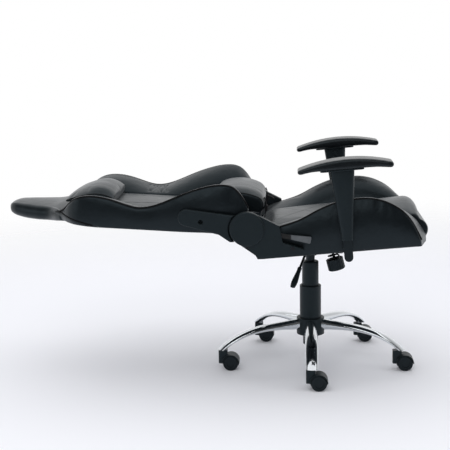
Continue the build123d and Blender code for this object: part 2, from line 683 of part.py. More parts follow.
def seat_cross_pieces():
    """The cross tubes, flat bars and bosses between and beside the seat rails."""
    pieces = []
    for x in cross_tubes:
        pieces.append(cross_rod(RAIL_D, x, rail_z, -SEAT_RAIL_Y, SEAT_RAIL_Y))
    for x in flat_bars:
        pieces.append(block(x - BAR_W / 2, x + BAR_W / 2, -SEAT_RAIL_Y, SEAT_RAIL_Y, 0, BAR_T))
    for x, z in boss_places:
        boss = cross_rod(BOSS_D, x, z, FACE_GAP - BRACKET_Y, -SEAT_RAIL_Y)
        pieces += [boss, left_of(boss)]
    return pieces


seat_rails = rail_room(-SEAT_RAIL_BACK, SEAT_RAIL_FRONT, SEAT_RAIL_Y, rail_z, PRESS_FIT)
seat_frame = []
for piece in seat_cross_pieces():
    piece = cut_all(piece, seat_rails)
    piece = drill(piece, plate_holes + strap_holes, 0, BAR_T, FASTENER_D + 2 * PRESS_FIT)
    seat_frame.append(piece)
for side in (-1, 1):
    seat_frame.append(tube_along_x(-SEAT_RAIL_BACK, SEAT_RAIL_FRONT, side * SEAT_RAIL_Y, rail_z))
write("seat_frame", SEAT_AT * Compound(children=seat_frame))

web_reach = SEAT_RAIL_Y - RAIL_D / 2 - FACE_GAP
web_run = (SEAT_RAIL_FRONT - RAIL_D + SEAT_RAIL_BACK - RAIL_D) / SEAT_WEB_COUNT
web_places = [RAIL_D - SEAT_RAIL_BACK + web_run * (index + 0.5) for index in range(SEAT_WEB_COUNT)]
seat_webs = []
for x in web_places:
    seat_webs.append(block(x - WEB_W / 2, x + WEB_W / 2, -web_reach, web_reach, rail_z, rail_z + WEB_T))
write("seat_webbing", SEAT_AT * Compound(children=seat_webs))

fastener = rod(FASTENER_HEAD_D, -FASTENER_HEAD_T, FASTENER_HEAD_T) + rod(FASTENER_D, 0, PLATE_T + BAR_T)
strap_fastener = rod(FASTENER_HEAD_D, -FASTENER_HEAD_T, FASTENER_HEAD_T) + rod(FASTENER_D, 0, BAR_T * 2)
bolts = [Pos(x, y, -PLATE_T) * fastener for x, y in both_sides(plate_holes)]
bolts += [Pos(x, y, -BAR_T) * strap_fastener for x, y in both_sides(strap_holes)]
write("seat_bolts", SEAT_AT * Compound(children=bolts))

# Seat foam: each side bolster rises to a crest along its outer edge, where the cover is piped
SEAT_CREST_LINE = [(0.0, 0.44), (0.07, 0.54), (0.16, 0.6), (0.275, 0.69), (0.4, 0.86), (0.5, 0.96),
                   (0.62, 1.0), (0.74, 0.97), (0.84, 0.84), (0.92, 0.635), (0.965, 0.43), (1.0, 0.13)]


def bolster_face(plane, outer, inner, floor, crest, seam, bulge):
    """One cut through a right hand bolster: flat floor, full side, rounded crest, sloping inside."""
    tall = crest - floor
    edge = min(BOLSTER_EDGE, tall * 0.3)
    brow = (-outer + edge * 2.2, crest - edge * 0.25)
    inside = (-inner, seam)
    sag = Vector((brow[0] + inside[0]) / 2, (brow[1] + inside[1]) / 2 + BOLSTER_FULL * (crest - seam))
    side = [Line((-inner, floor), (-outer + edge / 2, floor)),
            ThreePointArc((-outer + edge / 2, floor), (-outer - bulge, floor + tall * 0.5),
                          (-outer, crest - edge)),
            ThreePointArc((-outer, crest - edge), (-outer + edge * 0.7, crest - edge * 0.12), brow),
            ThreePointArc(brow, sag, inside), Line(inside, (-inner, floor))]
    return plane * make_face(side)


def seat_bolster():
    length = SEAT_FRONT + SEAT_BACK
    faces = []
    for share, rise in SEAT_CREST_LINE:
        x = share * length - SEAT_BACK
        crest = rise * SEAT_CREST_H
        seam = min(SEAT_SEAM_H, crest * 0.86)
        bulge = SEAT_BULGE * max(0.0, math.sin(math.pi * (share - 0.3) / 0.7)) + 0.5
        plane = Plane.YZ.offset(x)
        faces.append(bolster_face(plane, SEAT_HALF_W, SEAT_CENTRE_HALF_W, 0, crest, seam, bulge))
    return loft(faces)


def seat_centre_face(y, full):
    """The centre cushion in side view: a crowned top and two rolls down the front."""
    nose = SEAT_FRONT + SEAT_NOSE
    top = SEAT_SEAM_H + SEAT_CROWN * full
    brow = SEAT_NOSE_H - SEAT_NOSE_CROWN * (1 - full)
    pinch = (SEAT_FRONT + SEAT_PINCH_AHEAD, SEAT_PINCH_H)
    foot = SEAT_FRONT + SEAT_NOSE * 0.35
    knee = SEAT_FRONT - SEAT_NOSE_BACK
    seat_heel = SEAT_HEEL - SEAT_BACK
    side = [Line((-SEAT_BACK + 8, 0), (foot, 0)),
            ThreePointArc((foot, 0), (nose, SEAT_PINCH_H * 0.5), pinch),
            ThreePointArc(pinch, (SEAT_FRONT + SEAT_NOSE * 0.12, brow - 14), (knee, brow)),
            ThreePointArc((knee, brow), (SEAT_FRONT * 0.42, top + SEAT_CROWN), (seat_heel, top)),
            ThreePointArc((seat_heel, top), (-SEAT_BACK + 15, top - 14), (-SEAT_BACK, top * 0.5)),
            Line((-SEAT_BACK, top * 0.5), (-SEAT_BACK + 8, 0))]
    return Plane.XZ.offset(-y) * make_face(side)


def channel(x0, x1, y0, y1, top):
    """A channel moulded into the underside of the seat foam, with a little room round what lies in it."""
    return block(x0 - SOFT_GAP, x1 + SOFT_GAP, y0 - SOFT_GAP, y1 + SOFT_GAP, -1, top + SOFT_GAP)


rail_r = RAIL_D / 2
seat_room = []
for y in (-SEAT_RAIL_Y, SEAT_RAIL_Y):
    seat_room.append(channel(-SEAT_RAIL_BACK, SEAT_RAIL_FRONT, y - rail_r, y + rail_r, rail_z + rail_r))
for x in cross_tubes:
    seat_room.append(channel(x - rail_r, x + rail_r, -SEAT_RAIL_Y, SEAT_RAIL_Y, rail_z + rail_r))
for x in flat_bars:
    seat_room.append(channel(x - BAR_W / 2, x + BAR_W / 2, -SEAT_RAIL_Y, SEAT_RAIL_Y, BAR_T))
for x in web_places:
    seat_room.append(channel(x - WEB_W / 2, x + WEB_W / 2, -web_reach, web_reach, rail_z + WEB_T))
for x, z in boss_places:
    boss_room = channel(x - BOSS_D / 2, x + BOSS_D / 2, -BRACKET_Y, -SEAT_RAIL_Y, z + BOSS_D / 2)
    seat_room += [boss_room, left_of(boss_room)]
right_bolster = cut_all(seat_bolster(), seat_room)
write("seat_bolster_right", SEAT_AT * right_bolster)
write("seat_bolster_left", SEAT_AT * left_of(right_bolster))
centre_edge = SEAT_CENTRE_HALF_W - SOFT_GAP
centre_cuts = ((centre_edge, 0), (0, 1), (-centre_edge, 0))
centre = loft([seat_centre_face(y, full) for y, full in centre_cuts])
write("seat_cushion", SEAT_AT * cut_all(centre, seat_room))

# Recliner: a steel plate on each side of the seat, a steel arm plate on each side of the back, the
# hinge pin through both, and moulded covers over them
upper_y = BRACKET_Y + BRACKET_T + BRACKET_STEP
cover_in = upper_y + BRACKET_T + BRACKET_STEP
hinge = (-HINGE_BACK, HINGE_UP)
cover_tip = (-SIDE_COVER_FRONT + 8, SIDE_COVER_TIP_H)
cover_heel = (-SIDE_COVER_NECK + 6, SIDE_COVER_HEEL_H)


def seat_side_outline(inset):
    """The seat side of the recliner in side view: the cap's circle and the foot along the seat."""
    cap = CAP_R - inset
    foot = [(-SIDE_COVER_BACK + inset, SIDE_COVER_LIFT + inset),
            (-SIDE_COVER_FRONT - inset, SIDE_COVER_LIFT + inset),
            (cover_tip[0] - inset, cover_tip[1]), (cover_heel[0] - inset, cover_heel[1] - inset),
            (-SIDE_COVER_NECK - inset, HINGE_UP), (hinge[0] + CAP_R * 0.62, hinge[1] + cap * 0.78),
            (hinge[0] - cap * 0.75, hinge[1] - cap * 0.66),
            (-SIDE_COVER_BACK - 5 + inset, SIDE_COVER_LIFT + 12 + inset)]
    return outline(foot)


def circle_at(place, radius):
    return Pos(place[0], place[1]) * Circle(radius)


lever_pivot = (-LEVER_PIVOT_BACK, LEVER_PIVOT_UP)
pin_hole = circle_at(hinge, HINGE_PIN_D / 2 + PRESS_FIT)
shaft_hole = circle_at(lever_pivot, RECLINE_SHAFT_D / 2 + RUN_FIT)
plate_edge = COVER_GAP + SIDE_COVER_WALL
lower_face = circle_at(hinge, HUB_PLATE_R) + seat_side_outline(plate_edge)
lower_bracket = right_plate(lower_face - pin_hole - shaft_hole, BRACKET_Y, BRACKET_Y + BRACKET_T)
write("lower_brackets", SEAT_AT * pair(lower_bracket))

cap_in = CAP_OUT - CAP_T
hinge_pin = cross_rod(HINGE_PIN_D, hinge[0], hinge[1], -cap_in + FACE_GAP, -BRACKET_Y)
write("hinge_pins", SEAT_AT * pair(hinge_pin))

foot_out = BRACKET_Y + BRACKET_T + SIDE_COVER_T
foot_in = BRACKET_Y + BRACKET_T + FACE_GAP
lever_gate = block(-SIDE_COVER_NECK - 14, 0, -foot_out + SIDE_COVER_WALL, -foot_in + 1,
                   SIDE_COVER_HEEL_H + 2, HINGE_UP - 4)


def side_cover():
    foot = right_plate(seat_side_outline(0), foot_in, foot_out)
    foot = foot - right_plate(seat_side_outline(SIDE_COVER_WALL), foot_in, foot_out - SIDE_COVER_WALL)
    sweep_room = right_plate(circle_at(hinge, CAP_R + CAP_GAP), foot_in, cap_in)
    foot = foot - sweep_room - lever_gate
    cap = right_plate(circle_at(hinge, CAP_R), cap_in, CAP_OUT)
    cap = fillet(cap.edges().filter_by(GeomType.CIRCLE).sort_by(Axis.Y)[0], 4)
    cap_hollow = circle_at(hinge, CAP_R - SIDE_COVER_WALL)
    cap = cap - right_plate(cap_hollow, cap_in, CAP_OUT - SIDE_COVER_WALL * 2)
    post = right_plate(circle_at(hinge, HINGE_PIN_D * 0.8), cap_in, CAP_OUT - SIDE_COVER_WALL)
    return foot + cap + post


cover = side_cover()
write("side_covers", SEAT_AT * pair(cover))

# Recline lever on the right: a flat bar on a shaft, with the pawl plate beside the toothed hub
bar_mid = (cover_in + RECLINE_BAR_T / 2 + FACE_GAP)


def recline_lever():
    half_root = RECLINE_BAR_W / 2
    half_tip = RECLINE_TIP_W / 2
    step = RECLINE_BAR_L * 0.55
    bar = outline([(0, -half_root), (step, -half_root), (RECLINE_BAR_L, -half_tip),
                   (RECLINE_BAR_L, half_tip), (step, half_root), (0, half_root)])
    bar = bar + Circle(half_root)
    blade = right_plate(bar, bar_mid - RECLINE_BAR_T / 2, bar_mid + RECLINE_BAR_T / 2)
    blade = fillet(blade.edges().filter_by(Axis.Y).group_by(Axis.X)[-1], 4)
    blade = Pos(lever_pivot[0], 0, lever_pivot[1]) * Rot(0, RECLINE_BAR_FALL, 0) * blade
    return blade + cross_rod(RECLINE_SHAFT_D, lever_pivot[0], lever_pivot[1], -bar_mid, -BRACKET_Y)


write("recline_lever", SEAT_AT * recline_lever())
gap_line = Vector(hinge[0] - lever_pivot[0], hinge[1] - lever_pivot[1])
pawl_reach = gap_line.length - HUB_PLATE_R - PAWL_GAP
pawl_face = Pos(pawl_reach / 2, 0) * Rectangle(pawl_reach, PAWL_W) + Circle(PAWL_W * 0.75)
pawl_face = Rot(0, 0, math.degrees(math.atan2(gap_line.Y, gap_line.X))) * pawl_face
pawl_face = Pos(*lever_pivot) * pawl_face - circle_at(hinge, HUB_PLATE_R + PAWL_GAP)
pawl_face = pawl_face - circle_at(lever_pivot, RECLINE_SHAFT_D / 2 + PRESS_FIT)
write("recline_pawl", SEAT_AT * right_plate(pawl_face, upper_y, upper_y + BRACKET_T))


def arm_plate_outline(inset):
    """The back side of the recliner in side view, from the hinge towards the head."""
    end = (-ARM_PLATE_L, ARM_PLATE_UP)
    end_r = ARM_PLATE_END_R - inset
    web = outline([(end[0], end[1] + end_r), (0, CAP_R * 0.66 - inset), (0, -HUB_PLATE_R + 4),
                   (-ARM_PLATE_HEEL, -ARM_PLATE_HEEL_DROP + inset),
                   (-ARM_PLATE_WAIST, -ARM_PLATE_WAIST_DROP + inset), (end[0], end[1] - end_r)])
    return web + Pos(*end) * Circle(end_r)


teeth = Circle(HUB_PLATE_R)
for index in range(TOOTH_COUNT):
    notch = Pos(HUB_PLATE_R, 0) * RegularPolygon(TOOTH_H, 3)
    teeth = teeth - Rot(0, 0, 40 - index * 100 / TOOTH_COUNT) * notch
bolt_hole = Pos(-ARM_BOLT_S, BACK_RAIL_T) * Circle(FASTENER_D / 2 + PRESS_FIT)
upper_face = arm_plate_outline(1.5) - circle_at((0, 0), HUB_PLATE_R) + teeth
upper_face = upper_face - Circle(HINGE_PIN_D / 2 + RUN_FIT) - bolt_hole
upper_bracket = right_plate(upper_face, upper_y, upper_y + BRACKET_T)
write("upper_brackets", BACK_AT * pair(upper_bracket))

arm_cover_face = arm_plate_outline(0) - Circle(CAP_R + CAP_GAP)
arm_cover_y = upper_y + BRACKET_T + FACE_GAP
arm_cover = right_plate(arm_cover_face, arm_cover_y, arm_cover_y + ARM_COVER_T)
cover_hole = Pos(-ARM_BOLT_S, BACK_RAIL_T) * Circle(ARM_COVER_HOLE_D / 2)
arm_cover = arm_cover - right_plate(cover_hole, arm_cover_y, CAP_OUT)
arm_cover = chamfer(arm_cover.faces().sort_by(Axis.Y)[0].outer_wire().edges(), 2)
write("bracket_covers", BACK_AT * pair(arm_cover))

# Back frame, webbing and the bolts that hold the arm plates to its rails


def back_cross_pieces(spare):
    """The cross bars between the back rails and the bosses out to the arm plates."""
    boss = cross_rod(BOSS_D + 2 * spare, -ARM_BOLT_S, BACK_RAIL_T, FACE_GAP - upper_y, -BACK_RAIL_Y)
    pieces = [boss, left_of(boss)]
    for s in (BACK_RAIL_S0 + RAIL_D, BACK_RAIL_S1 - RAIL_D):
        pieces.append(cross_rod(CROSS_D + 2 * spare, -s, BACK_RAIL_T, -BACK_RAIL_Y, BACK_RAIL_Y))
    return pieces


back_rails = rail_room(-BACK_RAIL_S1, -BACK_RAIL_S0, BACK_RAIL_Y, BACK_RAIL_T, PRESS_FIT)
back_frame = [cut_all(piece, back_rails) for piece in back_cross_pieces(0)]
for side in (-1, 1):
    back_frame.append(tube_along_x(-BACK_RAIL_S1, -BACK_RAIL_S0, side * BACK_RAIL_Y, BACK_RAIL_T))
write("back_frame", BACK_AT * Compound(children=back_frame))
back_web_reach = BACK_RAIL_Y - RAIL_D / 2 - FACE_GAP
back_web_run = (BACK_RAIL_S1 - BACK_RAIL_S0 - 2 * RAIL_D) / BACK_WEB_COUNT
back_webs = []
for index in range(BACK_WEB_COUNT):
    s = BACK_RAIL_S0 + RAIL_D + back_web_run * (index + 0.5)
    back_webs.append(block(-s - WEB_W / 2, -s + WEB_W / 2, -back_web_reach, back_web_reach,
                           BACK_RAIL_T - WEB_T, BACK_RAIL_T))
write("back_webbing", BACK_AT * Compound(children=back_webs))

# Back foam: side bolsters with a tall lumbar crest, a low waist and shoulder wings
BACK_CREST_LINE = [(0.0, 0.49, 0.0), (0.027, 0.7, 0.0), (0.065, 0.91, 0.05), (0.15, 1.0, 1.0),
                   (0.216, 0.945, 1.0), (0.276, 0.855, 1.0), (0.353, 0.705, 0.9), (0.425, 0.54, 0.7)]
BACK_WING_LINE = [(0.507, 0.14, 0.6), (0.575, -0.06, 0.6), (0.64, 0.25, 0.7), (0.72, 0.76, 0.9),
                  (0.8, 1.0, 1.0), (0.86, 0.9, 0.7), (0.905, 0.55, -0.3), (0.95, -0.3, -3.4),
                  (0.995, -1.5, -8.6)]


def back_bolster():
    faces = []
    wide = BACK_HALF_W - BACK_FOOT_HALF_W
    stations = [(share, rise * BACK_CREST, out) for share, rise, out in BACK_CREST_LINE]
    wing = BACK_WING - BACK_WAIST
    stations += [(share, BACK_WAIST + rise * wing, out) for share, rise, out in BACK_WING_LINE]
    for share, crest, out in stations:
        outer = BACK_FOOT_HALF_W + wide * out
        seam = min(BACK_CENTRE_FRONT, crest * 0.8)
        plane = Plane.YZ.offset(-share * BACK_LEN)
        faces.append(bolster_face(plane, outer, BACK_CENTRE_HALF_W, -BACK_REAR, crest, seam, 0.3))
    return loft(faces)


def pad_face(plane, half, low, high, crown):
    """One cut through a flat padded panel with rounded sides and a crowned front."""
    mid = (low + high) / 2
    side = [Line((-half + 6, low), (half - 6, low)),
            ThreePointArc((half - 6, low), (half, mid), (half - 6, high)),
            ThreePointArc((half - 6, high), (0, high + crown), (-half + 6, high)),
            ThreePointArc((-half + 6, high), (-half, mid), (-half + 6, low))]
    return plane * make_face(side)


back_room = rail_room(-BACK_RAIL_S1, -BACK_RAIL_S0, BACK_RAIL_Y, BACK_RAIL_T, SOFT_GAP)
back_room += back_cross_pieces(SOFT_GAP)
back_room += [offset(strip, SOFT_GAP, kind=Kind.INTERSECTION) for strip in back_webs]
back_room.append(cross_rod(2 * (HUB_PLATE_R + CAP_GAP), 0, 0, -BACK_HALF_W, COVER_GAP - BRACKET_Y))
right_side = cut_all(back_bolster(), back_room)
write("back_bolster_right", BACK_AT * right_side)
write("back_bolster_left", BACK_AT * left_of(right_side))
centre_half = BACK_CENTRE_HALF_W - SOFT_GAP
centre_stops = [2.0, BACK_LEN * 0.3, BACK_LEN * 0.7, BACK_LEN]
back_centre = loft([pad_face(Plane.YZ.offset(-s), centre_half, -BACK_REAR, BACK_CENTRE_FRONT, BACK_CROWN)
                    for s in centre_stops])
write("back_cushion", BACK_AT * cut_all(back_centre, back_room))

# Head panel: a tongue that bends back from the shoulders, with a narrow front and steep full sides.
# Each row is the share of its length, then of its half width, front, crown, rear half width and rear.
HEAD_LINE = [(0.0, 0.91, 1.0, 1.0, 0.96, 0.62), (0.1, 0.7, 0.8, 0.55, 0.84, 0.72),
             (0.2, 0.56, 0.7, 0.32, 0.68, 0.84), (0.5, 0.4, 0.65, 0.22, 0.51, 0.97),
             (0.75, 0.28, 0.6, 0.17, 0.4, 0.93), (0.9, 0.21, 0.35, 0.12, 0.31, 0.8),
             (0.96, 0.16, -0.2, 0.1, 0.24, 0.68), (1.0, 0.08, -1.1, 0.05, 0.13, 0.5)]


def head_face(share, rim, front, crown, rear_rim, rear):
    """One cut through the head panel."""
    half = HEAD_HALF_W * rim
    level = HEAD_FRONT * front
    rear_half = HEAD_HALF_W * rear_rim
    under = -HEAD_REAR * rear
    full = ((half + rear_half) / 2 + HEAD_FULL * rear, (level + under) / 2)
    side = [ThreePointArc((-half, level), (0, level + HEAD_CROWN * crown), (half, level)),
            ThreePointArc((half, level), full, (rear_half, under)),
            Line((rear_half, under), (-rear_half, under)),
            ThreePointArc((-rear_half, under), (-full[0], full[1]), (-half, level))]
    return Plane.YZ.offset(-BACK_LEN - SOFT_GAP - share * HEAD_LEN) * make_face(side)


write("head_panel", BACK_AT * loft([head_face(*station) for station in HEAD_LINE]))

# Loose cushions: a crowned lumbar pad and a wedge shaped head pillow, both drawn in towards their ends
cushion_base = BACK_CENTRE_FRONT + BACK_CROWN + SOFT_GAP


def lumbar_face(tall, low, high):
    """The lumbar cushion in side view: full, with two round edges."""
    length = high - low
    brow = cushion_base + tall * 0.84
    cheek = cushion_base + tall * 0.4
    front = high - length * 0.14
    rear = low + length * 0.14
    corner = length * 0.07
    return [Line((low + corner, cushion_base), (high - corner, cushion_base)),
            ThreePointArc((high - corner, cushion_base), (high, cheek), (front, brow)),
            ThreePointArc((front, brow), ((low + high) / 2, cushion_base + tall), (rear, brow)),
            ThreePointArc((rear, brow), (low, cheek), (low + corner, cushion_base))]


def pillow_face(tall, low, high):
    """The head pillow in side view: a blunt edge towards the seat and a thin one at the head."""
    length = high - low
    levels = [cushion_base + tall * rise for rise in (0.3, 0.7, 1.0, 0.86, 0.52, 0.16, 0.07)]
    places = [high - length * share for share in (0.0, 0.07, 0.3, 0.55, 0.8, 0.97, 1.0)]
    round_0, brow, top, fall, slope, tip, end = zip(places, levels)
    return [Line((low + 5, cushion_base), (high - 6, cushion_base)),
            ThreePointArc((high - 6, cushion_base), round_0, brow), ThreePointArc(brow, top, fall),
            ThreePointArc(fall, slope, tip), ThreePointArc(tip, end, (low + 5, cushion_base))]


def cushion(side_view, start, length, half_w, thick, end):
    """Cuts across the chair, from one end of the cushion to the other."""
    faces = []
    near = (end + 2) / 3
    for share, fat in ((-1.0, end), (-0.8, near), (0.0, 1.0), (0.8, near), (1.0, end)):
        draw = length * 0.06 * (1 - fat)
        sides = side_view(thick * fat, -start - length + draw, -start - draw)
        faces.append(Plane.XZ.offset(half_w * share) * make_face(sides))
    return loft(faces)


lumbar = cushion(lumbar_face, -LUMBAR_FOOT, LUMBAR_L, LUMBAR_HALF_W, LUMBAR_T, LUMBAR_END)
write("lumbar_cushion", BACK_AT * lumbar)
pillow = cushion(pillow_face, PILLOW_S, PILLOW_L, PILLOW_HALF_W, PILLOW_T, PILLOW_END)
write("head_pillow", BACK_AT * pillow)

# Armrests: a post bolted under the seat, a tapered sleeve sliding on it, and a soft pad on top
post_y0 = ARM_Y - POST_T / 2
post_y1 = ARM_Y + POST_T / 2
post_low = POST_W / 2 - POST_DOWN
post_face = Pos(ARM_X, (POST_UP + post_low) / 2) * Rectangle(POST_W, POST_UP - post_low)
post_face = post_face + circle_at((ARM_X, post_low), POST_W / 2)
arm_bracket = right_plate(post_face, post_y0, post_y1)
strap = block(ARM_X - POST_W / 2 + 1, ARM_X + POST_W / 2 - 1, -ARM_Y, -ARM_STRAP_IN, -BAR_T, 0)
strap = drill(strap, strap_holes, -BAR_T, 0, FASTENER_D + 2 * PRESS_FIT)
write("arm_brackets", SEAT_AT * pair(arm_bracket + strap))


def sleeve_face(share):
    """The sleeve cut level: an oval with rather flat sides."""
    wide = SLEEVE_FOOT_W + (SLEEVE_TOP_W - SLEEVE_FOOT_W) * share
    thick = SLEEVE_FOOT_T + (SLEEVE_TOP_T - SLEEVE_FOOT_T) * share
    points = []
    for index in range(SLEEVE_POINTS):
        turn = 2 * math.pi * index / SLEEVE_POINTS
        across = math.copysign(abs(math.cos(turn)) ** SLEEVE_OVAL, math.cos(turn))
        out = math.copysign(abs(math.sin(turn)) ** SLEEVE_OVAL, math.sin(turn))
        points.append((ARM_X + wide / 2 * across, -ARM_Y + thick / 2 * out))
    level = SLEEVE_Z0 + (SLEEVE_Z1 - SLEEVE_Z0) * share
    return Pos(0, 0, level) * make_face(Spline(*points, periodic=True))


sleeve = loft([sleeve_face(share) for share in (0, 0.5, 1)])
pad_z = SLEEVE_Z1 + PAD_PLATE_T
pad_plate = extrude(RectangleRounded(PAD_PLATE_L, PAD_PLATE_W, 12), amount=PAD_PLATE_T)
pad_plate = Pos(ARM_X, -ARM_Y, SLEEVE_Z1) * pad_plate
cavity = Pos(ARM_X, -ARM_Y, SLEEVE_Z0) * Box(POST_W + 2 * SLIDE_FIT, POST_T + 2 * SLIDE_FIT,
                                             SLEEVE_CAVITY_TOP - SLEEVE_Z0 - ARM_LIFT, align=FROM_FLOOR)
button_y = ARM_Y - SLEEVE_TOP_T / 2 + 2
button_bore = cross_rod(BUTTON_D + 2 * SLIDE_FIT, ARM_X, BUTTON_Z, -button_y - BUTTON_L, -SEAT_HALF_W)
sleeve = sleeve + pad_plate - cavity - button_bore
button_in = BUTTON_PROUD - button_y
button = cross_rod(BUTTON_D, ARM_X, BUTTON_Z, button_in - BUTTON_L, button_in)
button = fillet(button.edges().filter_by(GeomType.CIRCLE).sort_by(Axis.Y)[-1], 1.5)


def arm_pad():
    """A bowed soft pad: higher in the middle, lower at its two rounded tips."""
    back = ARM_X + PAD_AHEAD - PAD_L / 2
    front = back + PAD_L
    toe = PAD_TIP_FRONT
    heel = PAD_TIP_REAR
    low = pad_z - PAD_ARCH
    flat0 = ARM_X - PAD_PLATE_L / 2
    flat1 = ARM_X + PAD_PLATE_L / 2
    top = pad_z + PAD_T + PAD_BOW
    bow = pad_z - PAD_ARCH * 0.25
    side = [Line((flat0, pad_z), (flat1, pad_z)),
            ThreePointArc((flat1, pad_z), ((flat1 + front) / 2, bow), (front - toe, low)),
            ThreePointArc((front - toe, low), (front, low + toe), (front - toe, low + 2 * toe)),
            ThreePointArc((front - toe, low + 2 * toe), (ARM_X + PAD_AHEAD, top),
                          (back + heel, low + 2 * heel)),
            ThreePointArc((back + heel, low + 2 * heel), (back, low + heel), (back + heel, low)),
            ThreePointArc((back + heel, low), ((back + flat0) / 2, bow), (flat0, pad_z))]
    slab = right_plate(make_face(side), ARM_Y - PAD_W / 2, ARM_Y + PAD_W / 2)
    faces = slab.faces().sort_by(Axis.Y)
    return fillet(faces[0].edges() + faces[-1].edges(), PAD_EDGE)


pad = arm_pad()
for name, side in (("right", lambda shape: shape), ("left", left_of)):
    write("arm_sleeve_" + name, SEAT_AT * side(sleeve))
    write("arm_pad_" + name, SEAT_AT * side(pad))
    write("arm_button_" + name, SEAT_AT * side(button))

# Every piece is written with the origin under the middle of the chair's length
pieces = dict(made)
front_end = pieces["seat_cushion"].bounding_box().max.X
head_end = pieces["head_panel"].bounding_box().min.X
to_middle = Pos(-(front_end + head_end) / 2, 0, 0)
for name, shape in made:
    export_step(to_middle * shape, "parts/" + name + ".step")
print("gas lift's axis is at x", round(-(front_end + head_end) / 2, 3), "mm")
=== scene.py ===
import bmesh
import bpy
import math
import numpy as np
from mathutils import Matrix, Vector


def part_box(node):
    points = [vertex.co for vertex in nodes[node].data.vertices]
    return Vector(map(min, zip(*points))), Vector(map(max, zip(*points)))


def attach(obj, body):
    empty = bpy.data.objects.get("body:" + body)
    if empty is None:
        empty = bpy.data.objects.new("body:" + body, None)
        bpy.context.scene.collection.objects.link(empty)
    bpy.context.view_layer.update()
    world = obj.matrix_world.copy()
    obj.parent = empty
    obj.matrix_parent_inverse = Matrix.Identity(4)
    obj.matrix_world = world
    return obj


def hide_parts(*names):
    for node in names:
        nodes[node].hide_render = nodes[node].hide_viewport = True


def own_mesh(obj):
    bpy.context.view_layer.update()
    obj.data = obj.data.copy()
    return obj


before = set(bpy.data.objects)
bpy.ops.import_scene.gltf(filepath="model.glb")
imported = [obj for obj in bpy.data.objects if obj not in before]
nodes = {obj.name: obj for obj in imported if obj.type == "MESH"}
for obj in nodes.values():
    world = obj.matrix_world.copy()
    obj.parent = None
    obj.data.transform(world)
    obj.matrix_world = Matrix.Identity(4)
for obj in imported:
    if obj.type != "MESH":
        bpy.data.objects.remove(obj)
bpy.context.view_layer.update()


# The room: a seamless pale paper floor that runs out into white, a wide softbox overhead and weaker
# ones in front and at both sides. The camera stands where the photograph was taken from.
def linear(code):
    """An sRGB hex colour as linear red, green, blue and alpha."""
    parts = [int(code[k:k + 2], 16) / 255 for k in (1, 3, 5)]
    return [p / 12.92 if p <= 0.04045 else ((p + 0.055) / 1.055) ** 2.4 for p in parts] + [1.0]


def add(tree, kind, settings=(), links=()):
    """Adds one node, with its settings and the links that come into it."""
    node = tree.nodes.new("ShaderNode" + kind)
    for name, value in dict(settings).items():
        if isinstance(name, int) or name in node.inputs:
            node.inputs[name].default_value = value
        else:
            setattr(node, name, value)
    for name, source in dict(links).items():
        tree.links.new(source, node.inputs[name])
    return node


def finish(name, settings):
    """A new material with one shader, its node tree and that shader."""
    material = bpy.data.materials.new(name)
    material.use_nodes = True
    tree = material.node_tree
    tree.nodes.clear()
    shader = add(tree, "BsdfPrincipled", settings)
    add(tree, "OutputMaterial", {}, {"Surface": shader.outputs["BSDF"]})
    return material, tree, shader


low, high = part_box("lift_tube")
LIFT_X = (low.x + high.x) / 2
scene = bpy.context.scene
scene.view_settings.view_transform = "Standard"
camera_data = bpy.data.cameras.new("photo_camera")
camera_data.sensor_width = 36.0
camera_data.lens = 87.82
camera = bpy.data.objects.new("photo_camera", camera_data)
scene.collection.objects.link(camera)
TO_RIGHT = Vector((0.99803, 0.06039, -0.01724))
TO_TOP = Vector((0.00607, 0.18049, 0.98356))
AHEAD = Vector((-0.06251, 0.98172, -0.17976))
STAND = Matrix.Translation((LIFT_X - 0.0541, -3.5816, 1.1237))
camera.matrix_world = STAND @ Matrix((TO_RIGHT, TO_TOP, -AHEAD)).transposed().to_4x4()
scene.camera = camera

# Matt studio paper: it shows as a faint cool grey near the chair and thins out to white
paper, tree, shader = finish("studio_paper", {"Base Color": linear("#f6f6f8"), "Roughness": 0.9,
                                              "Specular IOR Level": 0.1})
spot = add(tree, "TexCoord")
away = add(tree, "VectorMath", {"operation": "LENGTH"}, {0: spot.outputs["Object"]})
thin = add(tree, "MapRange", {"From Min": 1.2, "From Max": 3.6, "interpolation_type": "SMOOTHSTEP"},
           {"Value": away.outputs["Value"]})
clear = add(tree, "BsdfTransparent")
both = add(tree, "MixShader", {}, {0: thin.outputs["Result"], 1: shader.outputs["BSDF"],
                                   2: clear.outputs["BSDF"]})
tree.links.new(both.outputs["Shader"], tree.nodes["Material Output"].inputs["Surface"])
sheet = bmesh.new()
bmesh.ops.create_circle(sheet, cap_ends=True, segments=96, radius=4.0)
floor_mesh = bpy.data.meshes.new("studio_floor")
sheet.to_mesh(floor_mesh)
sheet.free()
floor_mesh.materials.append(paper)
floor = bpy.data.objects.new("studio_floor", floor_mesh)
scene.collection.objects.link(floor)
floor.location.x = LIFT_X

world = bpy.data.worlds.new("white_studio")
world.use_nodes = True
scene.world = world
tree = world.node_tree
tree.nodes.clear()
path = add(tree, "LightPath")
bearing = add(tree, "SeparateXYZ", {}, {0: add(tree, "TexCoord").outputs["Generated"]})
ceiling = add(tree, "MapRange", {"From Min": 0.25, "From Max": 1.0, "To Min": 1.0, "To Max": 0.2},
              {"Value": bearing.outputs["Z"]})
behind = add(tree, "MapRange", {"From Min": -0.7, "From Max": 0.3, "To Min": 0.07, "To Max": 1.0},
             {"Value": bearing.outputs["Y"]})
bright = add(tree, "Math", {"operation": "MULTIPLY"},
             {0: ceiling.outputs[0], 1: behind.outputs[0]})
room_light = add(tree, "Background", {"Color": linear("#f6f8ff"), "Strength": 0.62})
mirrored = add(tree, "Background", {"Color": linear("#ffffff")}, {"Strength": bright.outputs[0]})
white = add(tree, "Background", {"Color": linear("#ffffff"), "Strength": 1.0})
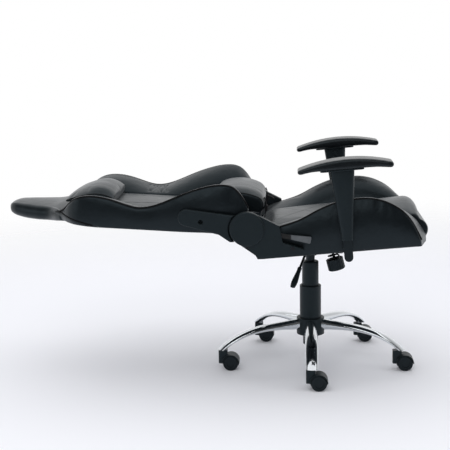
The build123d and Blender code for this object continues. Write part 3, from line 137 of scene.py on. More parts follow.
seen = add(tree, "Math", {"operation": "MAXIMUM"},
           {0: path.outputs["Is Camera Ray"], 1: path.outputs["Is Transmission Ray"]})
first = add(tree, "MixShader", {}, {0: path.outputs["Is Glossy Ray"], 1: room_light.outputs[0],
                                    2: mirrored.outputs[0]})
last = add(tree, "MixShader", {}, {0: seen.outputs[0], 1: first.outputs[0], 2: white.outputs[0]})
add(tree, "OutputWorld", {}, {"Surface": last.outputs[0]})

for name, place, aim, size, power in (
        ("overhead_softbox", (-0.3, 0.8, 2.8), (-0.2, 0.2, 0.3), 4.2, 52.0),
        ("front_softbox", (-0.6, -3.4, 2.4), (-0.3, 0.1, 0.0), 2.6, 34.0),
        ("left_softbox", (-3.2, -1.9, 1.0), (-0.5, 0.0, 0.5), 1.8, 12.0),
        ("side_softbox", (2.6, -1.2, 1.6), (0.1, 0.0, 0.5), 1.2, 7.0)):
    lamp = bpy.data.lights.new(name, "AREA")
    lamp.size = size
    lamp.energy = power
    holder = bpy.data.objects.new(name, lamp)
    scene.collection.objects.link(holder)
    holder.location = Vector(place) + Vector((LIFT_X, 0, 0))
    holder.rotation_euler = (Vector(aim) - Vector(place)).to_track_quat("-Z", "Y").to_euler()


# Star base: five curved steel arms welded to a hub tube, then polished and chrome plated. A moulded
# cover hides the hub. The CAD arms have the right shape and stay.
def dress(material, *names):
    """Gives CAD pieces their finish."""
    for name in names:
        nodes[name].data.materials.clear()
        nodes[name].data.materials.append(material)


def speckle(tree, kind, mark, **settings):
    """A pattern fixed to the object, with marks of one size in metres."""
    spot = add(tree, "TexCoord")
    return add(tree, kind, {"Scale": 1 / mark, **settings}, {"Vector": spot.outputs["Object"]})


def mottle(tree, shader, amount, dark, light):
    """Lets a pattern turn the base colour from one tone to another."""
    tone = add(tree, "Mix", {"data_type": "RGBA", 6: linear(dark), 7: linear(light)}, {0: amount})
    tree.links.new(tone.outputs[2], shader.inputs["Base Color"])
    return tone


def gloss(tree, shader, amount, smooth, dull):
    """Lets a pattern turn the roughness from one value to another."""
    spread = add(tree, "MapRange", {"To Min": smooth, "To Max": dull}, {"Value": amount})
    tree.links.new(spread.outputs["Result"], shader.inputs["Roughness"])


def grain(tree, shader, amount, strength, depth, under=None, **settings):
    """Lets a pattern raise the surface, on top of an earlier bump or bevel if there is one."""
    links = {"Height": amount}
    if under is not None:
        links["Normal"] = under.outputs["Normal"]
    bump = add(tree, "Bump", {"Strength": strength, "Distance": depth, **settings}, links)
    tree.links.new(bump.outputs["Normal"], shader.inputs["Normal"])
    return bump


# Chrome plate over polished steel: a mirror, with faint waves where the tube was buffed by hand
chrome, tree, shader = finish("polished_chrome_plate", {"Base Color": linear("#d8dce0"),
                                                        "Metallic": 1.0})
BUFF_MARK = 0.018
waves = speckle(tree, "TexNoise", BUFF_MARK, Detail=3.0).outputs["Fac"]
gloss(tree, shader, waves, 0.04, 0.11)
grain(tree, shader, waves, 0.05, 0.001)
dress(chrome, "star_base")

# Moulded ABS with a spark eroded mould: near black, satin, with a fine even tooth
COOL = linear("#c4dae6")
moulded, tree, shader = finish("moulded_abs", {"Specular IOR Level": 0.4, "Specular Tint": COOL})
TOOTH, MELT_FLOW = 0.0009, 0.08
tooth = speckle(tree, "TexNoise", TOOTH, Detail=2.0).outputs["Fac"]
flow = speckle(tree, "TexNoise", MELT_FLOW, Detail=4.0).outputs["Fac"]
mottle(tree, shader, flow, "#0c1113", "#151b1d")
gloss(tree, shader, flow, 0.38, 0.52)
edges = add(tree, "Bevel", {"Radius": 0.003, "samples": 6})
grain(tree, shader, tooth, 0.25, 0.00015, edges)
dress(moulded, "hub_cover")

# Casters: twin nylon wheels on a steel axle under a moulded hood, each on a steel stem pushed into
# the end of an arm.
CASTERS = range(1, 6)

# Glass filled nylon: satin black, faintly scuffed, with a moulded groove round each wheel's disc
nylon, tree, shader = finish("moulded_nylon", {"Specular IOR Level": 0.45, "Specular Tint": COOL})
SCUFF, GROOVE_AT, GROOVE_HALF_W = 0.006, 0.37, 0.03
scuff = speckle(tree, "TexNoise", SCUFF, Detail=6.0, Roughness=0.7).outputs["Fac"]
worn = add(tree, "MapRange", {"From Min": 0.55, "From Max": 0.8}, {"Value": scuff})
mottle(tree, shader, worn.outputs["Result"], "#07090a", "#121517")
gloss(tree, shader, scuff, 0.32, 0.55)
wheel = add(tree, "VectorMath", {"operation": "SUBTRACT", 1: (0.5, 0.5, 0.5)},
            {0: add(tree, "TexCoord").outputs["Generated"]})
wheel = add(tree, "VectorMath", {"operation": "MULTIPLY", 1: (1.0, 0.0, 1.0)},
            {0: wheel.outputs["Vector"]})
wheel = add(tree, "VectorMath", {"operation": "LENGTH"}, {0: wheel.outputs["Vector"]})
groove = add(tree, "Math", {"operation": "COMPARE", 1: GROOVE_AT, 2: GROOVE_HALF_W},
             {0: wheel.outputs["Value"]})
disc = grain(tree, shader, groove.outputs["Value"], 1.0, 0.0015, invert=True)
grain(tree, shader, scuff, 0.15, 0.0002, disc)
dress(nylon, *["caster_wheels_%d" % k for k in CASTERS])
dress(moulded, *["caster_housing_%d" % k for k in CASTERS])

# Turned mild steel: bright grey with fine rings left by the lathe
turned, tree, shader = finish("turned_steel", {"Base Color": linear("#a9acb0"), "Metallic": 1.0})
LATHE_MARK, WAVE = 0.0008, 0.314
rings = speckle(tree, "TexWave", LATHE_MARK / WAVE, wave_type="BANDS", bands_direction="Z",
                Distortion=1.5, Detail=2.0).outputs["Fac"]
gloss(tree, shader, rings, 0.2, 0.34)
grain(tree, shader, rings, 0.1, 0.0001)
dress(turned, "caster_stems")

# Gas lift: a painted outer tube with a bush, a piston rod on a thrust bearing, and a cylinder that
# slides in it. Two moulded dust covers telescope over them.
# Powder coat baked on steel: satin black with a slight orange peel
powder, tree, shader = finish("powder_coated_steel", {"Specular IOR Level": 0.45,
                                                      "Specular Tint": COOL})
PEEL, WEAR = 0.0016, 0.03
peel = speckle(tree, "TexNoise", PEEL, Detail=1.0).outputs["Fac"]
wear = speckle(tree, "TexNoise", WEAR, Detail=5.0).outputs["Fac"]
mottle(tree, shader, wear, "#090b0d", "#101416")
gloss(tree, shader, wear, 0.3, 0.46)
edges = add(tree, "Bevel", {"Radius": 0.002, "samples": 6})
grain(tree, shader, peel, 0.12, 0.0003, edges)
dress(powder, "lift_tube", "gas_cylinder")
dress(turned, "piston_rod", "thrust_bearing", "rod_clip", "valve_button")
dress(moulded, "lift_bush", "lower_dust_cover", "upper_dust_cover")

# Tilt mechanism: a folded steel housing on the lift's taper, a steel plate under the seat on a
# cross pin, a spring round a long bolt, and a ribbed knob. A bent rod works the lift valve.
dress(powder, "mechanism_housing", "seat_plate")
dress(turned, "tilt_pin", "seat_bolts")
dress(moulded, "tension_knob", "height_lever_grip")
dress(powder, "height_lever")

# Blackened spring wire: dark and slightly oily. The coil is a copy of the spring and rides with the
# seat
blackened, tree, shader = finish("oiled_spring_steel", {"Base Color": linear("#26272a"),
                                                        "Metallic": 0.8})
OIL = 0.004
gloss(tree, shader, speckle(tree, "TexNoise", OIL, Detail=4.0).outputs["Fac"], 0.25, 0.5)
dress(blackened, "tension_bolt")
low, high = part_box("tension_spring")
coil = bpy.data.objects.new("tension_coil", nodes["tension_spring"].data.copy())
scene.collection.objects.link(coil)
coil.data.materials.clear()
coil.data.materials.append(blackened)
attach(coil, "seat")
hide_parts("tension_spring")
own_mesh(coil)

# Seat frame: welded steel tube with flat bars, and three elastic webs that carry the foam.
dress(powder, "seat_frame", "arm_brackets", "lower_brackets")

# Woven elastic: dull black ribs across the strip, one rib to each rubber thread
elastic, tree, shader = finish("woven_elastic", {"Roughness": 0.85, "Specular IOR Level": 0.2})
RIB = 0.0024
ribs = speckle(tree, "TexWave", RIB / WAVE, wave_type="BANDS", bands_direction="X").outputs["Fac"]
mottle(tree, shader, ribs, "#0f0f10", "#232325")
grain(tree, shader, ribs, 0.5, 0.0006)
dress(elastic, "seat_webbing", "back_webbing")

# Seat bolsters: moulded foam wrapped in synthetic leather and stapled under the frame. A flat side
# panel and a sloping inner panel are sewn together with piping along the crest.
SEAT_AT = Matrix.Translation((LIFT_X, 0, 0.418)) @ Matrix.Rotation(math.radians(-4.5), 4, "Y")

# Polyurethane leather, embossed with a pebble grain: deep matt black that turns grey in flat light
leather, tree, shader = finish("pu_leather", {
    "Specular IOR Level": 0.38, "Specular Tint": COOL, "Sheen Weight": 0.15,
    "Sheen Roughness": 0.4, "Sheen Tint": linear("#eef3f6")})
PEBBLE, HANDLED, PUCKER = 0.0016, 0.07, 0.024
pebble = speckle(tree, "TexVoronoi", PEBBLE, feature="F1").outputs["Distance"]
handled = speckle(tree, "TexNoise", HANDLED, Detail=5.0).outputs["Fac"]
pucker = speckle(tree, "TexNoise", PUCKER, Detail=2.0).outputs["Fac"]
mottle(tree, shader, handled, "#06090b", "#0c1012")
gloss(tree, shader, handled, 0.27, 0.42)
soft = grain(tree, shader, pucker, 0.25, 0.004)
grain(tree, shader, pebble, 0.3, 0.0002, soft, invert=True)

# Vinyl welt cord: blacker and duller than the leather, so each piped seam reads as a dark line
vinyl, tree, shader = finish("vinyl_welt", {"Specular IOR Level": 0.15})
RUB = 0.005
rubbed = speckle(tree, "TexNoise", RUB, Detail=4.0).outputs["Fac"]
mottle(tree, shader, rubbed, "#040506", "#0a0c0e")
gloss(tree, shader, rubbed, 0.5, 0.7)


def line(a, c, count):
    """Points from a towards c, without c."""
    return [(a[0] + (c[0] - a[0]) * k / count, a[1] + (c[1] - a[1]) * k / count)
            for k in range(count)]


def arc(a, b, c, count):
    """Points on the circle through a, b and c, from a towards c, without c."""
    (ax, ay), (bx, by), (cx, cy) = a, b, c
    d = 2 * (ax * (by - cy) + bx * (cy - ay) + cx * (ay - by))
    if abs(d) < 1e-6:
        return line(a, c, count)
    aa, bb, cc = ax * ax + ay * ay, bx * bx + by * by, cx * cx + cy * cy
    ox = (aa * (by - cy) + bb * (cy - ay) + cc * (ay - by)) / d
    oy = (aa * (cx - bx) + bb * (ax - cx) + cc * (bx - ax)) / d
    start = math.atan2(ay - oy, ax - ox)
    middle = (math.atan2(by - oy, bx - ox) - start) % (2 * math.pi)
    turn = (math.atan2(cy - oy, cx - ox) - start) % (2 * math.pi)
    if middle > turn:
        turn -= 2 * math.pi
    radius = math.hypot(ax - ox, ay - oy)
    angles = [start + turn * k / count for k in range(count)]
    return [(ox + radius * math.cos(angle), oy + radius * math.sin(angle)) for angle in angles]


def eased(table, column, share):
    """A smooth line through one column of a table of measured places."""
    shares = np.array([row[0] for row in table], float)
    values = np.array([row[column] for row in table], float)
    slopes = np.gradient(values, shares)
    k = int(np.clip(np.searchsorted(shares, share) - 1, 0, len(shares) - 2))
    gap = shares[k + 1] - shares[k]
    u = (share - shares[k]) / gap
    return float((2 * u ** 3 - 3 * u ** 2 + 1) * values[k]
                 + (u ** 3 - 2 * u ** 2 + u) * gap * slopes[k]
                 + (3 * u ** 2 - 2 * u ** 3) * values[k + 1]
                 + (u ** 3 - u ** 2) * gap * slopes[k + 1])


def rows_between(start, stop, count, edge):
    """Places from start to stop, closer together within an edge of each end."""
    near = [0.0, 0.04, 0.14, 0.3, 0.5, 0.74]
    span = abs(stop - start)
    steps = [edge * n for n in near] + list(np.linspace(edge, span - edge, count))
    steps += [span - edge * n for n in near[::-1]]
    return [start + (stop - start) * step / span for step in steps]


def rounded_end(ring, left, edge):
    """Draws a row of points in near the end of a cover, so that the end is rounded."""
    if left >= edge:
        return ring
    centre = ring.mean(axis=0)
    reach = np.linalg.norm(ring - centre, axis=1).max()
    pull = edge * (1 - math.sqrt(1 - (1 - left / edge) ** 2))
    return centre + (ring - centre) * (1 - pull / reach)


def cover(name, rows, place):
    """A closed cover through rows of points in millimetres, set in its frame, ends filled."""
    rows = np.asarray(rows, float)
    count = rows.shape[1]
    points = list(rows.reshape(-1, 3))
    faces = []
    for row in range(len(rows) - 1):
        for k in range(count):
            a, b = row * count + k, row * count + (k + 1) % count
            faces.append((a, b, b + count, a + count))
    for row in (0, len(rows) - 1):
        for k in range(count):
            faces.append((row * count + k, row * count + (k + 1) % count, len(points)))
        points.append(rows[row].mean(axis=0))
    mesh = bpy.data.meshes.new(name)
    mesh.from_pydata([place @ Vector(p * 0.001) for p in points], [], faces)
    shell = bmesh.new()
    shell.from_mesh(mesh)
    bmesh.ops.recalc_face_normals(shell, faces=shell.faces)
    shell.to_mesh(mesh)
    shell.free()
    mesh.shade_smooth()
    piece = bpy.data.objects.new(name, mesh)
    scene.collection.objects.link(piece)
    return piece


def spots(mesh):
    """The points of a mesh as an array."""
    points = np.empty(len(mesh.vertices) * 3, np.float32)
    mesh.vertices.foreach_get("co", points)
    return points.reshape(-1, 3).astype(float)


def stuffed(piece, sewn, pressure, limit):
    """Blows a cover up over its filling. Sewn points stay, and no point moves past the limit."""
    before = spots(piece.data)
    seams = piece.vertex_groups.new(name="seams")
    seams.add([int(k) for k in sewn], 1.0, "REPLACE")
    cloth = piece.modifiers.new("filling", "CLOTH")
    cloth.settings.quality = 6
    cloth.settings.mass = 0.25
    cloth.settings.tension_stiffness = 20
    cloth.settings.compression_stiffness = 20
    cloth.settings.bending_stiffness = 0.6
    cloth.settings.vertex_group_mass = "seams"
    cloth.settings.use_pressure = True
    cloth.settings.uniform_pressure_force = pressure
    cloth.settings.effector_weights.gravity = 0
    for step in range(1, 21):
        scene.frame_set(step)
    bpy.context.view_layer.update()
    swollen = piece.evaluated_get(bpy.context.evaluated_depsgraph_get())
    move = spots(swollen.data) - before
    piece.modifiers.remove(cloth)
    length = np.linalg.norm(move, axis=1, keepdims=True)
    move *= np.minimum(1.0, limit / np.maximum(length, 1e-9))
    piece.data.vertices.foreach_set("co", (before + move).astype(np.float32).ravel())
    piece.data.update()
    scene.frame_set(1)


def finer(piece, levels):
    """Divides a cover's faces and rounds them."""
    rounding = piece.modifiers.new("rounding", "SUBSURF")
    rounding.levels = levels
    bpy.context.view_layer.update()
    done = piece.evaluated_get(bpy.context.evaluated_depsgraph_get())
    mesh = bpy.data.meshes.new_from_object(done)
    mesh.name = piece.name
    piece.modifiers.clear()
    piece.vertex_groups.clear()
    piece.data = mesh
    mesh.shade_smooth()


def pressed(piece, place, path, width, depth, facing):
    """Presses a seam or fold into the side of a cover that faces one way, along a path in mm."""
    points = spots(piece.data)
    normals = np.empty(len(points) * 3, np.float32)
    piece.data.vertices.foreach_get("normal", normals)
    normals = normals.reshape(-1, 3).astype(float)
    out = np.array(place.to_3x3() @ Vector(facing).normalized())
    route = np.array([place @ (Vector(p) * 0.001) for p in path])
    flat = points - np.outer(points @ out, out)
    route = route - np.outer(route @ out, out)
    near = np.full(len(points), 1e9)
    for a, b in zip(route[:-1], route[1:]):
        run = b - a
        u = np.clip((flat - a) @ run / max(run @ run, 1e-12), 0, 1)
        near = np.minimum(near, np.linalg.norm(flat - a - np.outer(u, run), axis=1))
    faces_out = np.clip(normals @ out * 3 - 0.3, 0, 1)
    push = depth * 0.001 * np.exp(-(near / (width * 0.001)) ** 2) * faces_out
    points -= normals * push[:, None]
    piece.data.vertices.foreach_set("co", points.astype(np.float32).ravel())
    piece.data.update()


def mirrored_copy(piece, name):
    """The same cover for the other side of the chair."""
    mesh = piece.data.copy()
    mesh.transform(Matrix.Scale(-1, 4, (0, 1, 0)))
    mesh.flip_normals()
    twin = bpy.data.objects.new(name, mesh)
    mesh.name = name
    scene.collection.objects.link(twin)
    return twin


def upholster(piece, body, fill, *stands_for):
    """Puts the leather on a cover and hands it to the body that carries it."""
    piece.data.materials.clear()
    piece.data.materials.append(leather)
    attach(piece, body)
    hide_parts(*stands_for)


def piping(name, path, place, thick, body):
    """A round welt sewn into a seam."""
    welt = bpy.data.curves.new(name, "CURVE")
    welt.dimensions = "3D"
    welt.bevel_depth = thick / 2000
    welt.bevel_resolution = 3
    welt.use_fill_caps = True
    spline = welt.splines.new("NURBS")
    spline.points.add(len(path) - 1)
    for point, spot in zip(spline.points, path):
        point.co = (place @ (Vector(spot) * 0.001)).to_4d()
    spline.order_u = 4
    spline.use_endpoint_u = True
    welt.materials.append(vinyl)
    piece = bpy.data.objects.new(name, welt)
    scene.collection.objects.link(piece)
    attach(piece, body)
    return piece


def other_side(path):
    """A path on the other side of the chair."""
    return [(x, -y, z) for x, y, z in path]


def held_points(rows, count, places):
    """The numbers of a cover's points on its seams and at its ends, in rows of one count."""
    kept = [row * count + k for row in range(rows) for k in places]
    return kept + list(range(count)) + list(range((rows - 1) * count, rows * count + 2))


BOTTOM, SIDE, EDGE, TOP, INSIDE = 8, 14, 6, 14, 6
ROUND = BOTTOM + SIDE + EDGE + TOP + INSIDE
SEWN_AT = (0, BOTTOM, BOTTOM + SIDE + 2, BOTTOM + SIDE + EDGE + TOP)
PIPING_D = 5.4


def bolster_row(along, outer, inner, floor, crest, seam, bulge, draw):
    """One cut through the right bolster: floor, side panel, rounded crest, sloping inner panel."""
    tall = crest - floor
    edge = min(9.0, tall * 0.3)
    brow = (-outer + edge * 2.2, crest - edge * 0.25)
    sag = ((brow[0] - inner) / 2, (brow[1] + seam) / 2 + 0.24 * (crest - seam))
    foot = (-outer + edge / 2 + draw, floor)
    cut = line((-inner, floor), foot, BOTTOM)
    cut += arc(foot, (-outer - bulge, floor + tall * 0.55), (-outer, crest - edge), SIDE)
    cut += arc((-outer, crest - edge), (-outer + edge * 0.7, crest - edge * 0.12), brow, EDGE)
    cut += arc(brow, sag, (-inner, seam), TOP)
    cut += line((-inner, seam), (-inner, floor), INSIDE)
    return np.array([(along, y, z) for y, z in cut])


SEAT_CREST = [(0.0, 0.44), (0.07, 0.54), (0.16, 0.6), (0.275, 0.69), (0.4, 0.86), (0.5, 0.96),
              (0.62, 1.0), (0.74, 0.97), (0.84, 0.84), (0.92, 0.635), (0.965, 0.43), (1.0, 0.13)]
SEAT_REAR, SEAT_NOSE, SEAT_TALL, SEAT_HALF_W, SEAT_SEAM = -165.0, 338.0, 164.0, 250.0, 86.0
SEAT_EDGE, NOSE_DRAW = 8.0, 26.0
PROUD = (0, -0.4, 0.4)
rows = []
crest_line = []
for x in rows_between(SEAT_REAR, SEAT_NOSE, 64, SEAT_EDGE):
    share = (x - SEAT_REAR) / (SEAT_NOSE - SEAT_REAR)
    crest = SEAT_TALL * eased(SEAT_CREST, 1, share)
    bulge = 6 * max(0.0, math.sin(math.pi * (share - 0.3) / 0.7)) + 0.5
    row = bolster_row(x, SEAT_HALF_W, 160.4, -3.5, crest, min(SEAT_SEAM, 0.86 * crest), bulge, 2.0)
    draw = NOSE_DRAW * max(0.0, (share - 0.7) / 0.3) ** 2
    row[:, 0] += draw * np.clip((SEAT_HALF_W + row[:, 1]) / 90, 0, 1)
    rows.append(rounded_end(row, min(x - SEAT_REAR, SEAT_NOSE - x), SEAT_EDGE))
    crest_line.append(rows[-1][SEWN_AT[2]] + PROUD)
seat_right = cover("seat_bolster_cover_right", rows, SEAT_AT)
stuffed(seat_right, held_points(len(rows), ROUND, SEWN_AT), 3.0, 0.005)
finer(seat_right, 1)
seat_left = mirrored_copy(seat_right, "seat_bolster_cover_left")
upholster(seat_right, "seat", 0.9, "seat_bolster_right")
upholster(seat_left, "seat", 0.9, "seat_bolster_left")
piping("seat_piping_right", crest_line[::3], SEAT_AT, PIPING_D, "seat")
piping("seat_piping_left", other_side(crest_line[::3]), SEAT_AT, PIPING_D, "seat")

# Seat cushion: one foam block with a crowned top and two rolls down its front, wrapped in the same
# leather and sewn to the bolsters along both sides.
CUSHION_HALF_W, CUSHION_EDGE = 159.6, 9.0
rows = []
for y in rows_between(-CUSHION_HALF_W, CUSHION_HALF_W, 40, CUSHION_EDGE):
    full = 1 - (y / CUSHION_HALF_W) ** 2
    top = SEAT_SEAM + 6 * full
    brow = 112 - 26 * (1 - full)
    cut = line((-157, 1.5), (350, 1.5), 40)
    cut += arc((350, 1.5), (372, 33), (350, 66), 12)
    cut += arc((350, 66), (344, brow - 12), (310, brow), 10)
    cut += arc((310, brow), (142, top + 6), (-107, top), 36)
    cut += arc((-107, top), (-150, top - 14), (-165, top / 2), 7)
    cut += line((-165, top / 2), (-157, 1.5), 5)
    row = np.array([(x, y, z) for x, z in cut])
    rows.append(rounded_end(row, CUSHION_HALF_W - abs(y), CUSHION_EDGE))
seat_cushion = cover("seat_cushion_cover", rows, SEAT_AT)
stuffed(seat_cushion, held_points(len(rows), len(rows[0]), (0, 20, 40, 52)), 3.0, 0.006)
finer(seat_cushion, 1)
for turn in (-1, 1):
    seam = [(-118, turn * -137, 90), (31, turn * 64, 90), (86, turn * 138, 90)]
    pressed(seat_cushion, SEAT_AT, seam, 2.0, 1.3, (0, 0, 1))
upholster(seat_cushion, "seat", 0.9, "seat_cushion")

# Recliner: pressed steel brackets inside moulded covers, with a pin at each hinge. A grey painted
# lever lifts the pawl out of its teeth.
dress(powder, "upper_brackets", "recline_pawl")
dress(turned, "hinge_pins")
dress(moulded, "side_covers", "bracket_covers")

# Pan head screws hold the covers: blackened heads, sunk in their holes
SCREWS, SCREW_TALL = ((-0.0556, 0.0302, 0.0062), (-0.1927, 0.0439, 0.0042)), 0.0012
for side, out in (("right", -0.2774), ("left", 0.2774)):
    heads = bmesh.new()
    for x, z, size in SCREWS:
        turn = SEAT_AT @ Matrix.Translation((x, out, z)) @ Matrix.Rotation(math.radians(90), 4, "X")
        bmesh.ops.create_cone(heads, cap_ends=True, segments=24, radius1=size, radius2=size,
                              depth=SCREW_TALL, matrix=turn)
    screws = bpy.data.meshes.new("cover_screws_" + side)
    heads.to_mesh(screws)
    heads.free()
    screws.materials.append(blackened)
    screws = bpy.data.objects.new("cover_screws_" + side, screws)
    scene.collection.objects.link(screws)
    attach(screws, "seat")

# Satin grey stove enamel on steel: smooth, with faint flow marks, and black round the pivot, where
# the black steel bar is made darker still as painted shade for the cover's recess
enamel, tree, shader = finish("grey_stove_enamel", {"Specular IOR Level": 0.5})
RUN = 0.012
flow = speckle(tree, "TexNoise", RUN, Detail=3.0).outputs["Fac"]
tone = mottle(tree, shader, flow, "#484c4f", "#585c5f")
gloss(tree, shader, flow, 0.28, 0.4)
reach = add(tree, "SeparateXYZ", {}, {0: add(tree, "TexCoord").outputs["Generated"]})
# Below this mark the lever turns near black: a black bar, darkened further as painted shade
grip = add(tree, "MapRange", {"From Min": 0.53, "From Max": 0.55}, {"Value": reach.outputs["X"]})
tone = add(tree, "Mix", {"data_type": "RGBA", 6: linear("#050606")},
           {0: grip.outputs[0], 7: tone.outputs[2]})
tree.links.new(tone.outputs[2], shader.inputs["Base Color"])
dress(enamel, "recline_lever")
dress(powder, "back_frame")

# Back bolsters: tall beside the waist, low in the middle and full again at the shoulders, covered
# like the seat's. The piping runs from the hinge to the corner where the head panel begins.
BACK_AT = (SEAT_AT @ Matrix.Translation((-0.1906, 0, 0.1023))
           @ Matrix.Rotation(math.radians(8.1), 4, "Y"))
BACK_LEN, BOLSTER_LEN, BACK_REAR, BACK_SEAM, BOLSTER_EDGE = 597.0, 626.0, -27.0, 24.0, 3.0
BACK_CREST = [(s, 129 * rise, out) for s, rise, out in (
    (0.0, 0.49, 0.0), (0.027, 0.7, 0.0), (0.065, 0.91, 0.05), (0.15, 1.0, 1.0), (0.216, 0.945, 1.0),
    (0.276, 0.855, 1.0), (0.353, 0.705, 0.9), (0.425, 0.54, 0.7))]
BACK_CREST += [(s, 46 + 27 * rise, out) for s, rise, out in (
    (0.507, 0.14, 0.6), (0.575, -0.06, 0.6), (0.64, 0.25, 0.7), (0.72, 0.76, 0.9), (0.8, 1.0, 1.0),
    (0.86, 0.9, 0.7), (0.905, 0.55, -0.3), (0.95, -0.3, -3.4), (0.995, -1.5, -8.6),
    (1.015, -1.54, -10.3), (1.035, -1.7, -12.9), (1.049, -1.93, -15.7))]
rows = []
crest_line = []
seam_line = []
for s in rows_between(0.0, BOLSTER_LEN, 80, BOLSTER_EDGE):
    crest = eased(BACK_CREST, 1, s / BACK_LEN)
    outer = SEAT_HALF_W + 7 * eased(BACK_CREST, 2, s / BACK_LEN)
    inner = min(150.4, outer - 14.0)
    tuck = max(0.0, (s - 462.0) / 141.0)
    waist = math.exp(-((s - 105) / 75) ** 2)
    row = bolster_row(-s, outer - 3 * waist, inner, BACK_REAR + 8 * tuck ** 2, crest,
                      min(BACK_SEAM, 0.8 * crest), 0.3 + 3 * waist, 9 * waist)
    level = -26 + 32 * tuck
    under = np.clip(level - row[:, 2], 0, None)
    row[:, 1] += 0.35 * under * np.clip((-row[:, 1] - inner) / 40, 0, 1)
    if 476 < s < 608:
        side = row[BOTTOM:BOTTOM + SIDE + 1]
        seam_line.append((-s, np.interp(level, side[:, 2], side[:, 1]) - 0.4, level))
    rows.append(rounded_end(row, s, BOLSTER_EDGE))
    crest_line.append(rows[-1][SEWN_AT[2]] + PROUD)
back_right = cover("back_bolster_cover_right", rows, BACK_AT)
stuffed(back_right, held_points(len(rows), ROUND, SEWN_AT), 3.0, 0.004)
finer(back_right, 1)
wing = [(-603, -184, 4), (-530, -250, -11), (-462, -256, -25)]
pressed(back_right, BACK_AT, wing, 2.2, 2.0, (0, -1, 0))
for s, lean in ((301, 4), (313, -3), (323, 5), (337, 2), (349, -4), (362, 3)):
    crease = [(-s, -224, 44), (-s - lean, -196, 38), (-s + lean, -168, 30)]
    pressed(back_right, BACK_AT, crease, 2.6, 3.4, (0, 0.6, 1))
back_left = mirrored_copy(back_right, "back_bolster_cover_left")
upholster(back_right, "back", 0.9, "back_bolster_right")
upholster(back_left, "back", 0.9, "back_bolster_left")
WING_SEAM_D = 3.6
piping("back_piping_right", crest_line[2::3], BACK_AT, PIPING_D, "back")
piping("back_piping_left", other_side(crest_line[2::3]), BACK_AT, PIPING_D, "back")
piping("wing_seam_right", seam_line, BACK_AT, WING_SEAM_D, "back")
piping("wing_seam_left", other_side(seam_line), BACK_AT, WING_SEAM_D, "back")

# Back cushion: a flat crowned panel of foam between the bolsters, on webs across the frame.
PANEL_HALF_W, PANEL_START, PANEL_EDGE = 149.6, 2.0, 8.0
rows = []
for s in rows_between(PANEL_START, BACK_LEN, 64, PANEL_EDGE):
    half = PANEL_HALF_W - 6
    edge = min(BACK_SEAM, 0.8 * eased(BACK_CREST, 1, s / BACK_LEN))
    mid = (edge + BACK_REAR) / 2
    cut = line((-half, BACK_REAR), (half, BACK_REAR), 26)
    cut += arc((half, BACK_REAR), (PANEL_HALF_W, mid), (half, edge), 6)
    cut += arc((half, edge), (0, 27 + edge / 8), (-half, edge), 30)
    cut += arc((-half, edge), (-PANEL_HALF_W, mid), (-half, BACK_REAR), 6)
    row = np.array([(-s, y, z) for y, z in cut])
    rows.append(rounded_end(row, min(s - PANEL_START, BACK_LEN - s), PANEL_EDGE))
back_cushion = cover("back_cushion_cover", rows, BACK_AT)
stuffed(back_cushion, held_points(len(rows), len(rows[0]), (0, 13, 26, 32, 62)), 2.5, 0.003)
finer(back_cushion, 1)
for y in (-62, 62):
    seam = [(-100, y, 29), (-330, y * 1.15, 29), (-440, y * 1.4, 28)]
    pressed(back_cushion, BACK_AT, seam, 2.4, 2.2, (0, 0, 1))
upholster(back_cushion, "back", 0.9, "back_cushion")

# Head panel: the top of the back, a padded leather tongue that bends away from the shoulders. A
# narrow front panel is sewn to full side walls, and the rear is flat.
HEAD = [(0.0, 0.84, 0.15, 1.0, 0.96, 0.6), (0.1, 0.7, 0.7, 0.55, 0.84, 0.72),
        (0.2, 0.56, 0.7, 0.32, 0.68, 0.84), (0.5, 0.4, 0.65, 0.22, 0.51, 0.97),
        (0.75, 0.28, 0.6, 0.17, 0.4, 0.93), (0.9, 0.21, 0.35, 0.12, 0.31, 0.8),
        (0.96, 0.16, -0.2, 0.1, 0.24, 0.68), (1.0, 0.08, -1.1, 0.05, 0.13, 0.5)]
HEAD_START, HEAD_END, HEAD_LEN, HEAD_HALF_W, HEAD_EDGE = 584.0, 798.4, 201.0, 190, 8.0
rows = []
for s in rows_between(HEAD_START, HEAD_END, 34, HEAD_EDGE):
    share = max(0.0, s - HEAD_END + HEAD_LEN) / HEAD_LEN
    rim, front, crown, rear_rim, rear = [eased(HEAD, k, share) for k in range(1, 6)]
    half, level, under = HEAD_HALF_W * rim, 8 * front, -44 * rear
    rear_half = HEAD_HALF_W * rear_rim - 16 * rear
    full = (HEAD_HALF_W * rear_rim + 3 * rear, level + 0.5 * (under - level))
    cut = arc((-half, level), (0, level + 19 * crown), (half, level), 40)
    cut += arc((half, level), full, (rear_half, under), 14)
    cut += line((rear_half, under), (-rear_half, under), 30)
    cut += arc((-rear_half, under), (-full[0], full[1]), (-half, level), 14)
    rows.append(rounded_end(np.array([(-s, y, z) for y, z in cut]), HEAD_END - s, HEAD_EDGE))
head_panel = cover("head_panel_cover", rows, BACK_AT)
stuffed(head_panel, held_points(len(rows), len(rows[0]), (0, 40, 54, 69, 84)), 2.5, 0.004)
finer(head_panel, 1)
upholster(head_panel, "back", 0.9, "head_panel")

# Loose cushions: a lumbar cushion and a head pillow, each a leather case over soft foam with a sewn
# panel at either end. They lie on the back.
LIE = 30.4


def lumbar_cut(tall, low, high):
    """The lumbar cushion in side view: full, with two round edges."""
    length = high - low
    brow, cheek, corner = LIE + tall * 0.84, LIE + tall * 0.4, length * 0.07
    fore, aft = (high - length * 0.14, brow), (low + length * 0.14, brow)
    cut = line((low + corner, LIE), (high - corner, LIE), 24)
    cut += arc((high - corner, LIE), (high, cheek), fore, 14)
    cut += arc(fore, ((low + high) / 2, LIE + tall), aft, 22)
    return cut + arc(aft, (low, cheek), (low + corner, LIE), 14)


